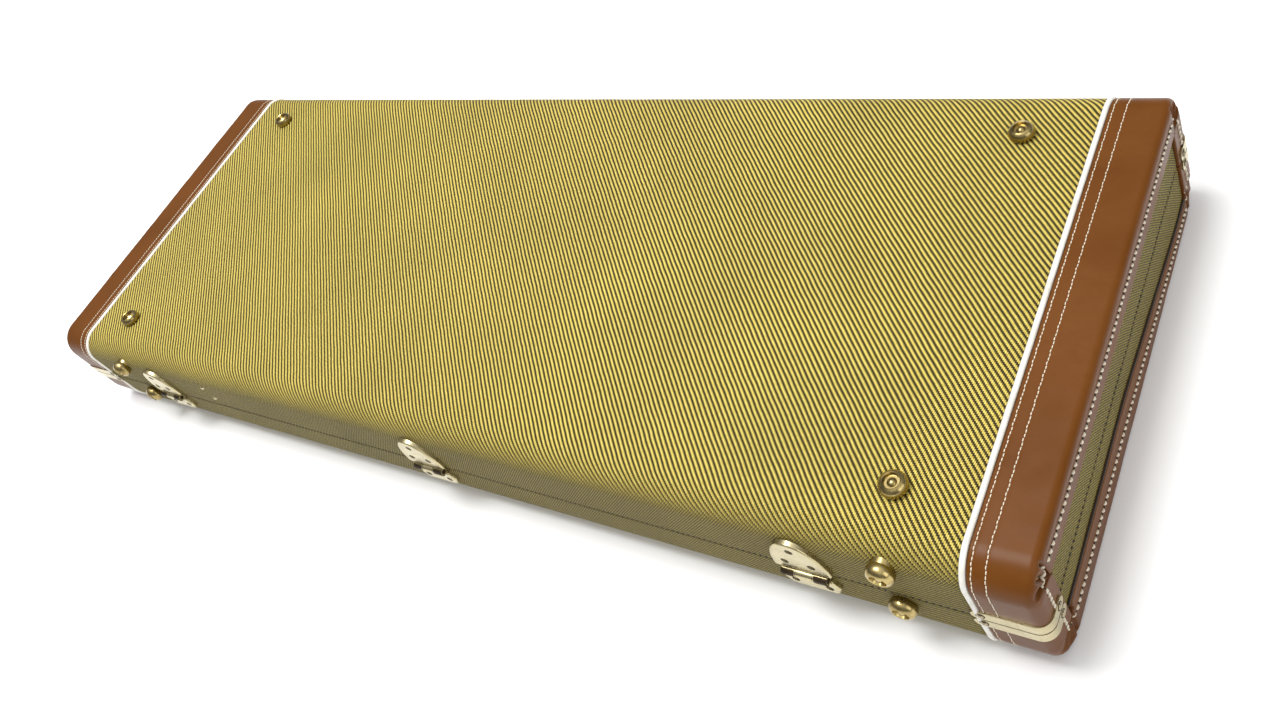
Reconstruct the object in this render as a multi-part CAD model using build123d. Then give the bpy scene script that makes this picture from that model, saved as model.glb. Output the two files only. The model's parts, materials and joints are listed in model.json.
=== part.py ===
"""Rectangular hard-shell guitar case, lying on its lid with the base shell on top.

Frame: +Z up, X along the case, hinge side at -Y, latch and handle side at +Y.
The origin is the centre of the lid's outer face, which rests on the floor.
"""
import os

from build123d import *

# ---------------------------------------------------------------- driving dimensions (mm)
LENGTH = 1070.0
WIDTH = 380.0
DEPTH = 110.0
SPLIT = 54.0            # height of the parting plane between lid and base
GAP = 0.6               # gap between the two rims
EDGE_R = {"base": 23.0, "lid": 28.0}   # rounding of the long edges
END_R = 7.0             # rounding of the end edges
CORNER_R = 9.0          # rounding of the corners in plan

SKIN = 1.5              # tweed and leather covering
END_SKIN = 3.5          # leather frame on the end faces
PANEL_SKIN = 1.5        # tweed panel inside that frame
PLY = 5.0               # plywood walls
LINING = 1.0            # plush glued to the plywood

LEATHER = {"left": 50.0, "right": 42.0}   # from the end to the middle of the piping
PIPING_W = 4.0
FRAME_STRIP = {"base": 24.0, "lid": 34.0}  # leather strip along the outer face, on the end
FRAME_SIDE = 25.0       # leather strip at the corners, on the end

VALANCE_DROP = 8.0      # how far the inner lip reaches into the lid
VALANCE_RISE = 12.0
VALANCE_T = 3.0
LID_PAD_T = 6.0
FOAM_RECESS = 3.0

HINGE_X = (-368.0, 24.0, 379.0)
HINGE_STANDOFF = 4.0    # pin axis in front of the long side
KNUCKLE_R = 3.5
HINGE_PIN_R = 2.0
RUNNING = 0.05          # radial clearance of pins and barrels
LEAF_T = 4.0
LEAF_HALF = 21.0        # half the width of a hinge leaf

FOOT_R = 9.5
FOOT_H = 9.0
FOOT_X = {"left": -427.0, "right": 442.0}
BOTTOM_FOOT_Y = (-146.0, 140.0)
SIDE_FOOT_X = (-418.0, 443.0)
SIDE_FOOT_Z = {"base": 91.0, "lid": 43.0}

STRAP_H = 9.0           # corner strap height
STRAP_T = 1.2
STRAP_LONG = {-1: 48.0, 1: 40.0}   # arm on the long side, left and right end
STRAP_END = 17.0        # arm on the end face
STRAP_GAP = 0.3         # between the strap and the rim
RIVET_R = 2.4
RIVET_H = 1.3

LATCH_X = (-385.0, -165.0, 165.0, 385.0)
LOCK_INDEX = 2
HANDLE_SPAN = 128.0     # between the two handle pivots
HANDLE_DROP = 34.0
HANDLE_OUT = 9.0        # pivot axis in front of the wall

STAY_X = -278.0

TRAY_X = (-330.0, -60.0)
TRAY_Y = (118.0, 164.0)
TRAY_DEEP = 38.0

MIN_ROUND = 2.0         # smallest rounding of an inner corner

half_w = WIDTH / 2
half_l = LENGTH / 2
base_depth = DEPTH - SPLIT - GAP / 2
lid_depth = SPLIT - GAP / 2
half_depth = {"base": base_depth, "lid": lid_depth}
inner_side = SKIN + PLY
inner_end = END_SKIN + PLY
hinge_y = -half_w - HINGE_STANDOFF

os.makedirs("parts", exist_ok=True)


def save(name, shapes):
    """Write one node: a single solid, or a group of separate solids."""
    shapes = shapes if isinstance(shapes, list) else [shapes]
    solids = [s for shape in shapes for s in shape.solids()]
    export_step(solids[0] if len(solids) == 1 else Compound(children=solids), f"parts/{name}.step")


def slab(x0, x1, y0, y1, z0, z1):
    """Axis-aligned block between two corners."""
    return Pos((x0 + x1) / 2, (y0 + y1) / 2, (z0 + z1) / 2) * Box(x1 - x0, y1 - y0, z1 - z0)


def rod(x0, x1, y, z, radius):
    """Cylinder along X."""
    return Pos((x0 + x1) / 2, y, z) * Rot(0, 90, 0) * Cylinder(radius, x1 - x0)


def to_side(half, shape):
    """Move a shape drawn rim-down at z = 0 onto the base, or turned over onto the lid."""
    if half == "base":
        return Pos(0, 0, SPLIT + GAP / 2) * shape
    return Pos(0, 0, SPLIT - GAP / 2) * mirror(shape, about=Plane.XY)


# ---------------------------------------------------------------- case halves
def half_block(half, side=0.0, end=0.0, face=0.0, below=0.0):
    """Rounded block of one half, rim at z = 0 and outer face up, inset from the outer shape."""
    top = half_depth[half] - face
    block = slab(-half_l + end, half_l - end, -half_w + side, half_w - side, -below, top)
    upper = block.edges().group_by(Axis.Z)[-1]
    long_round = fillet(upper.filter_by(Axis.X), EDGE_R[half] - side)
    end_round = fillet(upper.filter_by(Axis.Y), max(END_R - end, MIN_ROUND))
    plan_round = fillet(block.edges().filter_by(Axis.Z), max(CORNER_R - side, MIN_ROUND))
    return long_round & end_round & plan_round


def end_window(half, sign, x_from, x_to):
    """Block filling the opening of the leather frame on an end face."""
    x0, x1 = sorted((sign * x_from, sign * x_to))
    high = half_depth[half] - FRAME_STRIP[half]
    return slab(x0, x1, -half_w + FRAME_SIDE, half_w - FRAME_SIDE, -1.0, high)


def make_half(half):
    """Plywood tray, plush lining, tweed, leather ends and piping of one half."""
    cover = half_block(half) - half_block(half, SKIN, END_SKIN, SKIN, below=1.0)
    ply = half_block(half, SKIN, END_SKIN, SKIN)
    ply -= half_block(half, inner_side, inner_end, inner_side, below=1.0)
    lining = half_block(half, inner_side, inner_end, inner_side)
    lining -= half_block(
        half, inner_side + LINING, inner_end + LINING, inner_side + LINING, below=1.0
    )
    if half == "lid":
        lining -= slab(-half_l, half_l, -half_w, half_w, -1.0, VALANCE_DROP + 1.5)

    seam = {"left": -half_l + LEATHER["left"], "right": half_l - LEATHER["right"]}
    tall = half_depth[half] + 1.0
    middle = slab(
        seam["left"] + PIPING_W / 2, seam["right"] - PIPING_W / 2, -half_w, half_w, 0.0, tall
    )
    tweed = [cover & middle]
    piping = []
    for end_name, sign in (("left", -1), ("right", 1)):
        x = seam[end_name]
        piping.append(cover & slab(x - PIPING_W / 2, x + PIPING_W / 2, -half_w, half_w, 0.0, tall))
        inner, outer = sorted((x + sign * PIPING_W / 2, sign * (half_l + 1.0)))
        leather = cover & slab(inner, outer, -half_w, half_w, 0.0, tall)
        leather -= end_window(half, sign, half_l - END_SKIN, half_l + 1.0)
        save(f"{half}_leather_{end_name}", to_side(half, leather))
        panel = end_window(half, sign, half_l - END_SKIN, half_l - END_SKIN + PANEL_SKIN)
        tweed.append(panel & slab(-half_l, half_l, -half_w, half_w, 0.0, tall))
    save(f"{half}_tweed", [to_side(half, piece) for piece in tweed])
    save(f"{half}_piping", [to_side(half, piece) for piece in piping])
    save(f"{half}_shell", to_side(half, ply))
    save(f"{half}_lining", to_side(half, lining))


make_half("lid")
make_half("base")


# ---------------------------------------------------------------- hinge-side lip and padding
RING_R = 3.0            # least corner radius of the lip
STAY_POCKET_HALF = 14.0
STAY_POCKET_REACH = 75.0
STAY_POCKET_Z = (-20.0, 60.0)


def ring(side, end, thick, z0, z1):
    """Upright ring that follows the walls at a given inset."""
    radius = max(CORNER_R - side, RING_R)
    outer = RectangleRounded(LENGTH - 2 * end, WIDTH - 2 * side, radius)
    inner = RectangleRounded(LENGTH - 2 * (end + thick), WIDTH - 2 * (side + thick), MIN_ROUND)
    return Pos(0, 0, z0) * extrude(outer - inner, z1 - z0)


stay_pocket = slab(STAY_X - STAY_POCKET_HALF, STAY_X + STAY_POCKET_HALF,
                   -half_w + inner_side + LINING, -half_w + STAY_POCKET_REACH, *STAY_POCKET_Z)
valance = ring(inner_side + LINING, inner_end + LINING, VALANCE_T, -VALANCE_DROP, VALANCE_RISE)
save("base_valance", to_side("base", valance - stay_pocket))

foam_side = inner_side + LINING + VALANCE_T
foam_end = inner_end + LINING + VALANCE_T
lined_top = base_depth - inner_side - LINING
lined_space = half_block(
    "base", inner_side + LINING, inner_end + LINING, inner_side + LINING
)

BODY_END_X = half_l - foam_end
HEAD_END_X = -half_l + foam_end
FOAM_MEET_X = 20.0
LOWER_BOUT = (345.0, 160.0)     # centre x and radius
UPPER_BOUT = (165.0, 140.0)
NECK_HALF = 35.0
HEAD_POCKET_X = (-500.0, -335.0)
HEAD_POCKET_HALF = 58.0
NECK_MOUTH_X = 120.0            # where the neck's channel opens into the body's bay
CUT_HIGH = 80.0                 # taller than the foam
FOAM_R = 4.0


def foam_block(x0, x1):
    """Foam that fills the base between two stations along the case."""
    block = slab(x0, x1, -half_w + foam_side, half_w - foam_side, FOAM_RECESS, lined_top)
    block = fillet(block.edges().filter_by(Axis.Z), FOAM_R)
    return block & lined_space


bouts = [Pos(x, 0) * Circle(r) for x, r in (LOWER_BOUT, UPPER_BOUT)]
bout_hull = make_hull(bouts[0].edges() + bouts[1].edges())
body_cavity = extrude(bout_hull, CUT_HIGH)
body_padding = foam_block(FOAM_MEET_X, BODY_END_X) - body_cavity
body_padding -= slab(FOAM_MEET_X - 1, NECK_MOUTH_X, -NECK_HALF, NECK_HALF, 0, CUT_HIGH)
save("body_bay_padding", to_side("base", body_padding))

neck_padding = foam_block(HEAD_END_X, FOAM_MEET_X)
neck_padding -= slab(HEAD_POCKET_X[1] - 1, FOAM_MEET_X + 1, -NECK_HALF, NECK_HALF, 0, CUT_HIGH)
neck_padding -= slab(*HEAD_POCKET_X, -HEAD_POCKET_HALF, HEAD_POCKET_HALF, 0, CUT_HIGH)
neck_padding -= slab(*TRAY_X, *TRAY_Y, 0, CUT_HIGH)
neck_padding -= stay_pocket
save("neck_bay_padding", to_side("base", neck_padding))

NECK_REST_X = (-150.0, -95.0)
NECK_REST_LOW = 14.0
NECK_R = 27.0
NECK_AXIS_RISE = 6.0            # axis of the neck's cradle outside the rest's face
neck_rest = slab(*NECK_REST_X, -NECK_HALF, NECK_HALF, NECK_REST_LOW, lined_top)
neck_rest -= rod(NECK_REST_X[0] - 1, NECK_REST_X[1] + 1, 0,
                 NECK_REST_LOW - NECK_AXIS_RISE, NECK_R)
save("neck_rest", to_side("base", neck_rest))

LID_PAD_HALF = (505.0, 156.0)
LID_PAD_CORNER_R = 20.0
LID_PAD_EDGE_R = 4.0
lid_floor = -lid_depth + inner_side + LINING
lid_pad = slab(-LID_PAD_HALF[0], LID_PAD_HALF[0], -LID_PAD_HALF[1], LID_PAD_HALF[1],
               lid_floor, lid_floor + LID_PAD_T)
lid_pad = fillet(lid_pad.edges().filter_by(Axis.Z), LID_PAD_CORNER_R)
lid_pad = fillet(lid_pad.edges().group_by(Axis.Z)[-1], LID_PAD_EDGE_R)
save("lid_pad", Pos(0, 0, SPLIT - GAP / 2) * lid_pad)

# ---------------------------------------------------------------- accessory tray and its lid
TRAY_WALL = 3.0
TRAY_LID_T = 3.0
TRAY_LID_GAP = 0.6
TRAY_LID_SIDE = 3.0     # between the lid's ends and the tray's outside
TRAY_LID_FRONT = 2.0
TRAY_PIN_R = 0.6
TRAY_PIN_LEN = 6.0
TRAY_EAR_T = 2.0
TRAY_EAR_HALF = 2.0
TAB_HALF_W = 8.0
TAB_Y = (22.0, 4.0)     # from the tray's outer side
TAB_T = 1.5
tray_x0, tray_x1 = TRAY_X
tray_y0, tray_y1 = TRAY_Y
tray_rim = FOAM_RECESS + LINING
tray = slab(tray_x0, tray_x1, tray_y0, tray_y1, tray_rim, tray_rim + TRAY_DEEP)
tray -= slab(tray_x0 + TRAY_WALL, tray_x1 - TRAY_WALL, tray_y0 + TRAY_WALL, tray_y1 - TRAY_WALL,
             tray_rim - 1, tray_rim + TRAY_DEEP - TRAY_WALL)
save("accessory_tray", to_side("base", tray))

tray_hinge_y = tray_y0 + TRAY_WALL
tray_hinge_z = SPLIT + GAP / 2 + tray_rim - TRAY_LID_GAP - TRAY_LID_T / 2
tray_lid_x = (tray_x0 + TRAY_LID_SIDE, tray_x1 - TRAY_LID_SIDE)
panel = slab(*tray_lid_x, tray_hinge_y, tray_y1 - TRAY_LID_FRONT,
             tray_hinge_z - TRAY_LID_T / 2, tray_hinge_z + TRAY_LID_T / 2)
panel += rod(*tray_lid_x, tray_hinge_y, tray_hinge_z, TRAY_LID_T / 2)
panel -= rod(tray_x0, tray_x0 + TRAY_PIN_LEN + 1, tray_hinge_y, tray_hinge_z, TRAY_PIN_R + RUNNING)
panel -= rod(tray_x1 - TRAY_PIN_LEN - 1, tray_x1, tray_hinge_y, tray_hinge_z, TRAY_PIN_R + RUNNING)
save("accessory_lid", panel)

tray_pivots = []
for x_end, sign in ((tray_x0, 1), (tray_x1, -1)):
    ear_x = sorted((x_end, x_end + sign * TRAY_EAR_T))
    ear = slab(*ear_x, tray_hinge_y - TRAY_EAR_HALF, tray_hinge_y + TRAY_EAR_HALF,
               tray_hinge_z - TRAY_LID_T / 2, SPLIT + GAP / 2 + tray_rim)
    pin_a, pin_b = sorted((x_end + sign * TRAY_EAR_T, x_end + sign * TRAY_PIN_LEN))
    tray_pivots.append(ear + rod(pin_a, pin_b, tray_hinge_y, tray_hinge_z, TRAY_PIN_R))
save("accessory_lid_pivots", tray_pivots)

tab_x = (tray_x0 + tray_x1) / 2
pull_tab = slab(tab_x - TAB_HALF_W, tab_x + TAB_HALF_W, tray_y1 - TAB_Y[0], tray_y1 - TAB_Y[1],
                tray_hinge_z - TRAY_LID_T / 2 - TAB_T, tray_hinge_z - TRAY_LID_T / 2)
save("accessory_lid_tab", pull_tab)


# ---------------------------------------------------------------- rivets and feet
def rivet(radius=RIVET_R, high=RIVET_H):
    """Domed rivet head standing on z = 0."""
    dome_r = (radius**2 + high**2) / (2 * high)
    dome = Pos(0, 0, high - dome_r) * Sphere(dome_r)
    return dome & Pos(0, 0, high / 2) * Cylinder(radius, high)


def face_minus_y(x, z, shape, y=-half_w):
    """Stand a shape on the hinge side."""
    return Pos(x, y, z) * Rot(90, 0, 0) * shape


def face_plus_y(x, z, shape, y=half_w):
    """Stand a shape on the latch side."""
    return Pos(x, y, z) * Rot(-90, 0, 0) * shape


def face_end(sign, y, z, shape, x=half_l):
    """Stand a shape on an end face."""
    return Pos(sign * x, y, z) * Rot(0, sign * 90, 0) * shape


FOOT_SEAT = 2.6         # depth of the dish under the lip
FOOT_NECK = 1.2         # how much narrower the barrel is where it meets the case
FOOT_LIP = 3.4          # how much smaller the lip's ridge is than the barrel
FOOT_RIVET = (3.2, 1.8)
FOOT_BACK = 6.0         # how far the saddle of a side foot reaches behind the wall plane


def foot():
    """Turned brass foot: barrel with a lip and a dished seat for its rivet."""
    ridge, seat = FOOT_R - FOOT_LIP, FOOT_H - FOOT_SEAT
    barrel_points = [
        (FOOT_R - FOOT_NECK, 0), (FOOT_R - 0.2, 2.0), (FOOT_R, 4.5), (FOOT_R - 0.9, 7.0),
        (ridge + 0.8, FOOT_H - 0.5),
    ]
    dish_points = [(ridge, FOOT_H), (ridge - 0.6, FOOT_H - 0.4), (ridge - 1.2, seat), (0, seat)]
    barrel = Spline(*barrel_points)
    rim = Polyline(barrel_points[-1], *dish_points, (0, 0), barrel_points[0])
    profile = make_face(Wire([barrel] + list(rim.edges())))
    return revolve(Plane.XZ * profile, Axis.Z)


foot_shape = foot()
foot_rivet = Pos(0, 0, FOOT_H - FOOT_SEAT) * rivet(*FOOT_RIVET)
saddle = Pos(0, 0, -FOOT_BACK / 2) * Cylinder(FOOT_R - FOOT_NECK, FOOT_BACK)

bottom_spots = [Pos(x, y, DEPTH) for x in FOOT_X.values() for y in BOTTOM_FOOT_Y]
save("bottom_feet", [spot * foot_shape for spot in bottom_spots])
base_foot_rivets = [spot * foot_rivet for spot in bottom_spots]
for half, z in SIDE_FOOT_Z.items():
    outer = to_side(half, half_block(half))
    feet = [face_minus_y(x, z, foot_shape + saddle) - outer for x in SIDE_FOOT_X]
    save(f"{half}_side_feet", feet)
    heads = [face_minus_y(x, z, foot_rivet) for x in SIDE_FOOT_X]
    if half == "base":
        base_foot_rivets += heads
    else:
        save("lid_foot_rivets", heads)
save("base_foot_rivets", base_foot_rivets)


# ---------------------------------------------------------------- corner straps
PETAL = 6.0             # half length of the petal round a strap's rivet


def corner_straps(z0):
    """Four L-shaped straps that wrap the corners of one rim, with petal ends."""
    outer = RectangleRounded(LENGTH + 2 * STRAP_T, WIDTH + 2 * STRAP_T, CORNER_R + STRAP_T)
    band = extrude(outer - RectangleRounded(LENGTH, WIDTH, CORNER_R), STRAP_H)
    band = Pos(0, 0, z0) * band
    straps = []
    petal = extrude(Ellipse(PETAL, STRAP_H / 2 + 0.9) & Rectangle(2 * PETAL, STRAP_H), STRAP_T)
    mid = z0 + STRAP_H / 2
    for sx in (-1, 1):
        for sy in (-1, 1):
            x_in, y_in = half_l - STRAP_LONG[sx], half_w - STRAP_END
            xs = sorted((sx * x_in, sx * (half_l + 5)))
            ys = sorted((sy * y_in, sy * (half_w + 5)))
            strap = band & slab(*xs, *ys, z0, z0 + STRAP_H)
            place = face_minus_y if sy < 0 else face_plus_y
            strap += place(sx * x_in, mid, petal)
            strap += face_end(sx, sy * y_in, mid, Rot(0, 0, 90) * petal)
            straps.append(strap)
    return straps


def strap_rivets(z0):
    """Two rivets for each strap, one at each tip."""
    mid = z0 + STRAP_H / 2
    heads = []
    for sx in (-1, 1):
        for sy in (-1, 1):
            place = face_minus_y if sy < 0 else face_plus_y
            spot_x = sx * (half_l - STRAP_LONG[sx])
            heads.append(place(spot_x, mid, rivet(), sy * (half_w + STRAP_T)))
            spot_y = sy * (half_w - STRAP_END)
            heads.append(face_end(sx, spot_y, mid, rivet(), half_l + STRAP_T))
    return heads


strap_z = {
    "base": SPLIT + GAP / 2 + STRAP_GAP,
    "lid": SPLIT - GAP / 2 - STRAP_GAP - STRAP_H,
}
rivets = {"base": strap_rivets(strap_z["base"]), "lid": strap_rivets(strap_z["lid"])}
for half, z0 in strap_z.items():
    save(f"{half}_corner_straps", corner_straps(z0))


# ---------------------------------------------------------------- butterfly hinges
TONGUE_W = 12.0
SLOT_W = 10.0
SIDE_PLAY = 0.4         # between neighbouring knuckles
BASE_LEAF_H = 41.0
LID_LEAF_H = 21.0
LID_LEAF_SHOULDER = 13.0   # depth at which the lid leaf is widest
LID_LEAF_WAIST = 17.0      # half width next to the knuckle
KNUCKLE_SPACE = 4.2     # leaf edges stay this far from the pin axis
BRIM_R = 1.4
SCREW_HOLE_R = 2.7
SCREW_DEPTH = 1.8
SCREW_HEAD = (2.4, 1.0)
BASE_SCREWS = [(-9.6, 15.0), (0.0, 32.0), (9.6, 15.0)]
LID_SCREWS = [(-12.5, -14.0), (12.5, -14.0)]
KNUCKLE_GRIP = 7.0      # how far a knuckle's web reaches into its leaf
WALL_PLAY = 0.4         # between the moving knuckles and the wall


def leaf_outline_base():
    """Butterfly wing on the base: half an ellipse above the knuckle."""
    dome = Pos(0, KNUCKLE_SPACE) * Ellipse(LEAF_HALF, BASE_LEAF_H - KNUCKLE_SPACE)
    wing = dome & Pos(0, KNUCKLE_SPACE + BASE_LEAF_H) * Rectangle(100, 2 * BASE_LEAF_H)
    return fillet(wing.vertices(), 2.5)


def leaf_outline_lid():
    """Shorter wing on the lid, widest at its shoulders."""
    half = [
        (LID_LEAF_WAIST, -KNUCKLE_SPACE),
        (LEAF_HALF, -LID_LEAF_SHOULDER),
        (LEAF_HALF - 4.0, -LID_LEAF_H),
    ]
    other = [(-x, y) for x, y in reversed(half)]
    wing = make_face(Polyline(*half, *other, close=True))
    return fillet(wing.vertices(), 2.5)


def leaf(outline, screws):
    """Raised plate with a rounded brim and dished screw holes, drawn flat on z = 0."""
    plate = extrude(outline, LEAF_T)
    brim = plate.edges().group_by(Axis.Z)[-1]
    plate = fillet(brim, BRIM_R)
    for x, y in screws:
        plate -= Pos(x, y, LEAF_T - SCREW_DEPTH) * extrude(Circle(SCREW_HOLE_R), LEAF_T)
    return plate


def knuckle(x0, x1, up):
    """Barrel round the pin axis with a web to the leaf above or below it."""
    web_z = sorted((SPLIT + up, SPLIT + up * KNUCKLE_GRIP))
    barrel = slab(x0, x1, -half_w - LEAF_T, -half_w - WALL_PLAY, *web_z)
    barrel += rod(x0, x1, hinge_y, SPLIT, KNUCKLE_R)
    return barrel


base_leaf = leaf(leaf_outline_base(), BASE_SCREWS)
lid_leaf = leaf(leaf_outline_lid(), LID_SCREWS)
base_leaves, lid_leaves, hinge_pins = [], [], []
leaf_screws = {"base": [], "lid": []}
side_in = TONGUE_W / 2 + SIDE_PLAY
side_out = side_in + SLOT_W
for hx in HINGE_X:
    bore = rod(hx - 2 * LEAF_HALF, hx + 2 * LEAF_HALF, hinge_y, SPLIT, HINGE_PIN_R + RUNNING)
    tongue = knuckle(hx - TONGUE_W / 2, hx + TONGUE_W / 2, 1)
    base_leaves.append(face_minus_y(hx, SPLIT, base_leaf) + tongue - bore)

    leaf_l = face_minus_y(hx, SPLIT, lid_leaf)
    for sign in (-1, 1):
        k0, k1 = sorted((sign * side_in, sign * side_out))
        leaf_l += knuckle(hx + k0, hx + k1, -1)
    pin = rod(hx - side_out, hx + side_out, hinge_y, SPLIT, HINGE_PIN_R)
    lid_leaves.append(leaf_l - pin)
    hinge_pins.append(pin)
    screw_y = -half_w - LEAF_T + SCREW_DEPTH
    for half, spots in (("base", BASE_SCREWS), ("lid", LID_SCREWS)):
        for dx, dz in spots:
            screw = face_minus_y(hx + dx, SPLIT + dz, rivet(*SCREW_HEAD), screw_y)
            leaf_screws[half].append(screw)
save("hinge_base_leaves", base_leaves)
save("hinge_lid_leaves", lid_leaves)
save("hinge_pins", hinge_pins)
save("hinge_base_rivets", leaf_screws["base"])
save("hinge_lid_rivets", leaf_screws["lid"])

# ---------------------------------------------------------------- lid stay (parallelogram)
# Pivots relative to the hinge axis: the links stay parallel to the lines from the axis to
# the base pivot and to the lid pivot, so both turn with the base at a constant ratio.
STAY_BASE = (27.0, 20.0)
STAY_LID = (27.0, -7.0)
STAY_W = 8.0
STAY_T = 1.5
STAY_PIN_R = 1.5
STAY_PLAY = 0.3         # between neighbouring links and tabs
OPEN_PIVOT_PLAY = 0.4   # the pivot at the base bracket closes the linkage
TAB_HALF = 4.0          # half height of a bracket's tab
BRACKET_T = 1.5
BRACKET_HALF = 10.0
LID_BRACKET_Z = (-24.0, -3.0)     # from the parting plane
BASE_BRACKET_Z = (8.0, 33.0)
STAY_RIVET_Z = (14.5, 33.0)
stay_base_pivot = (hinge_y + STAY_BASE[0], SPLIT + STAY_BASE[1])
stay_lid_pivot = (hinge_y + STAY_LID[0], SPLIT + STAY_LID[1])
stay_elbow = (stay_lid_pivot[0] + STAY_BASE[0], stay_lid_pivot[1] + STAY_BASE[1])
lower_x = STAY_X
upper_x = STAY_X + STAY_T + STAY_PLAY


def link(x, a, b, hole_a, hole_b):
    """Flat bar in the YZ plane from pivot a to pivot b, x is its left face."""
    bar = rod(x, x + STAY_T, *a, STAY_W / 2) + rod(x, x + STAY_T, *b, STAY_W / 2)
    length = ((b[0] - a[0]) ** 2 + (b[1] - a[1]) ** 2) ** 0.5
    across = (-(b[1] - a[1]) / length * STAY_W / 2, (b[0] - a[0]) / length * STAY_W / 2)
    corners = [
        (a[0] + across[0], a[1] + across[1]),
        (b[0] + across[0], b[1] + across[1]),
        (b[0] - across[0], b[1] - across[1]),
        (a[0] - across[0], a[1] - across[1]),
    ]
    sketch = Plane.YZ * make_face(Polyline(*corners, close=True))
    bar += Pos(x, 0, 0) * extrude(sketch, STAY_T)
    bar -= rod(x - 1, x + STAY_T + 1, *a, hole_a)
    bar -= rod(x - 1, x + STAY_T + 1, *b, hole_b)
    return bar


loose = STAY_PIN_R + RUNNING
open_pivot_r = STAY_PIN_R + OPEN_PIVOT_PLAY
lower_link = link(lower_x, stay_lid_pivot, stay_elbow, loose, STAY_PIN_R)
elbow_pin = rod(lower_x, upper_x + STAY_T + 1.0, *stay_elbow, STAY_PIN_R)
save("stay_lower_link", lower_link + elbow_pin)
upper_link = link(upper_x, stay_elbow, stay_base_pivot, loose, open_pivot_r)
save("stay_upper_link", upper_link)

lined_wall = -half_w + inner_side + LINING


def bracket(z_from, z_to, tab_x, pivot):
    """Plate on the lined wall with a tab that carries a pivot."""
    plate = slab(STAY_X - BRACKET_HALF, STAY_X + BRACKET_HALF, lined_wall, lined_wall + BRACKET_T,
                 SPLIT + z_from, SPLIT + z_to)
    tab = slab(tab_x, tab_x + BRACKET_T, lined_wall, pivot[0] + TAB_HALF,
               pivot[1] - TAB_HALF, pivot[1] + TAB_HALF)
    return plate + tab


tab_right = STAY_X - STAY_PLAY
lid_bracket = bracket(*LID_BRACKET_Z, tab_right - BRACKET_T, stay_lid_pivot)
lid_bracket += rod(tab_right, lower_x + STAY_T, *stay_lid_pivot, STAY_PIN_R)
save("stay_lid_bracket", lid_bracket)

tab_left = upper_x + STAY_T + STAY_PLAY
base_bracket = bracket(*BASE_BRACKET_Z, tab_left, stay_base_pivot)
base_bracket += rod(upper_x, tab_left, *stay_base_pivot, STAY_PIN_R)
save("stay_base_bracket", base_bracket)
save("stay_rivets", [face_minus_y(STAY_X, SPLIT + z, rivet()) for z in STAY_RIVET_Z])

# ---------------------------------------------------------------- draw latches
# Distances out from the wall (OUT) and heights from the parting plane (Z).
LEVER_W = 22.0
LATCH_PLATE_T = 1.5
LATCH_PLATE_Z = (-46.0, -2.0)
EAR_T = 1.4
EAR_R = 3.0
LATCH_PIN_R = 1.5
LEVER_OUT = (5.2, 7.0)
LEVER_Z = (-50.0, -25.0)
LEVER_TIP_R = 7.0
LIP_R = 1.6
LIP_INSET = 5.0
ARM_IN = 2.4            # inner face of a lever arm, and radius of its eye
HOOK_PIN_R = 1.2
HOOK_EYE_R = 2.2
HOOK_W = 12.0
HOOK_OUT = (6.6, 7.8)
HOOK_TOP = 13.0
HOOK_SLOT = (3.0, -8.0, 2.0)      # half width, lower and upper end
KEEPER_HALF = 12.0
KEEPER_Z = (3.0, 26.0)
NOSE_HALF = 7.0
NOSE_OUT = 5.2
NOSE_Z = (6.0, 8.4)
NOSE_R = 1.4
LATCH_RIVET = (1.8, 0.9)
LID_RIVET_SPOT = (8.0, -5.5)
KEEPER_RIVET_SPOT = (7.0, 20.0)
LOCK_Z = -36.0
LOCK_RING = (7.0, 3.0)            # radius and height
LOCK_PLUG = (4.5, 4.4)
KEY_SLOT = (1.0, 5.0, 1.9)        # width, length and depth
lever_pivot = (half_w + 4.5, SPLIT - 13.0)
hook_pivot = (half_w + 6.0, SPLIT - 21.0)
ear_inner = LEVER_W / 2 + SIDE_PLAY
plate_half = ear_inner + EAR_T


def out_slab(x, half, out, z):
    """Block on the latch side, centred on x, between two distances out and two heights."""
    return slab(x - half, x + half, half_w + out[0], half_w + out[1], SPLIT + z[0], SPLIT + z[1])


def latch_plate(x):
    """Plate on the lid with two ears that carry the lever's pin."""
    plate = out_slab(x, plate_half, (0.0, LATCH_PLATE_T), LATCH_PLATE_Z)
    for sign in (-1, 1):
        e0, e1 = sorted((sign * ear_inner, sign * plate_half))
        plate += slab(x + e0, x + e1, half_w, lever_pivot[0],
                      lever_pivot[1] - EAR_R, lever_pivot[1] + EAR_R)
        plate += rod(x + e0, x + e1, *lever_pivot, EAR_R)
    return plate - rod(x - LEVER_W, x + LEVER_W, *lever_pivot, LATCH_PIN_R + RUNNING)


def latch_lever(x):
    """Lever with a rolled finger lip, two arms, its pin and the hook's pin."""
    half = LEVER_W / 2
    lever = out_slab(x, half, LEVER_OUT, LEVER_Z)
    lever = fillet(lever.edges().filter_by(Axis.Y).group_by(Axis.Z)[0], LEVER_TIP_R)
    lever += rod(x - half + LIP_INSET, x + half - LIP_INSET, half_w + LEVER_OUT[1] - 0.4,
                 SPLIT + LEVER_Z[0] + 1.4, LIP_R)
    for sign in (-1, 1):
        e0, e1 = sorted((sign * (half - EAR_T), sign * half))
        lever += slab(x + e0, x + e1, half_w + ARM_IN, half_w + LEVER_OUT[1],
                      SPLIT + LEVER_Z[1] - 1.0, lever_pivot[1])
        lever += rod(x + e0, x + e1, *lever_pivot, ARM_IN)
    lever += rod(x - plate_half, x + plate_half, *lever_pivot, LATCH_PIN_R)
    return lever + rod(x - half, x + half, *hook_pivot, HOOK_PIN_R)


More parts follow.
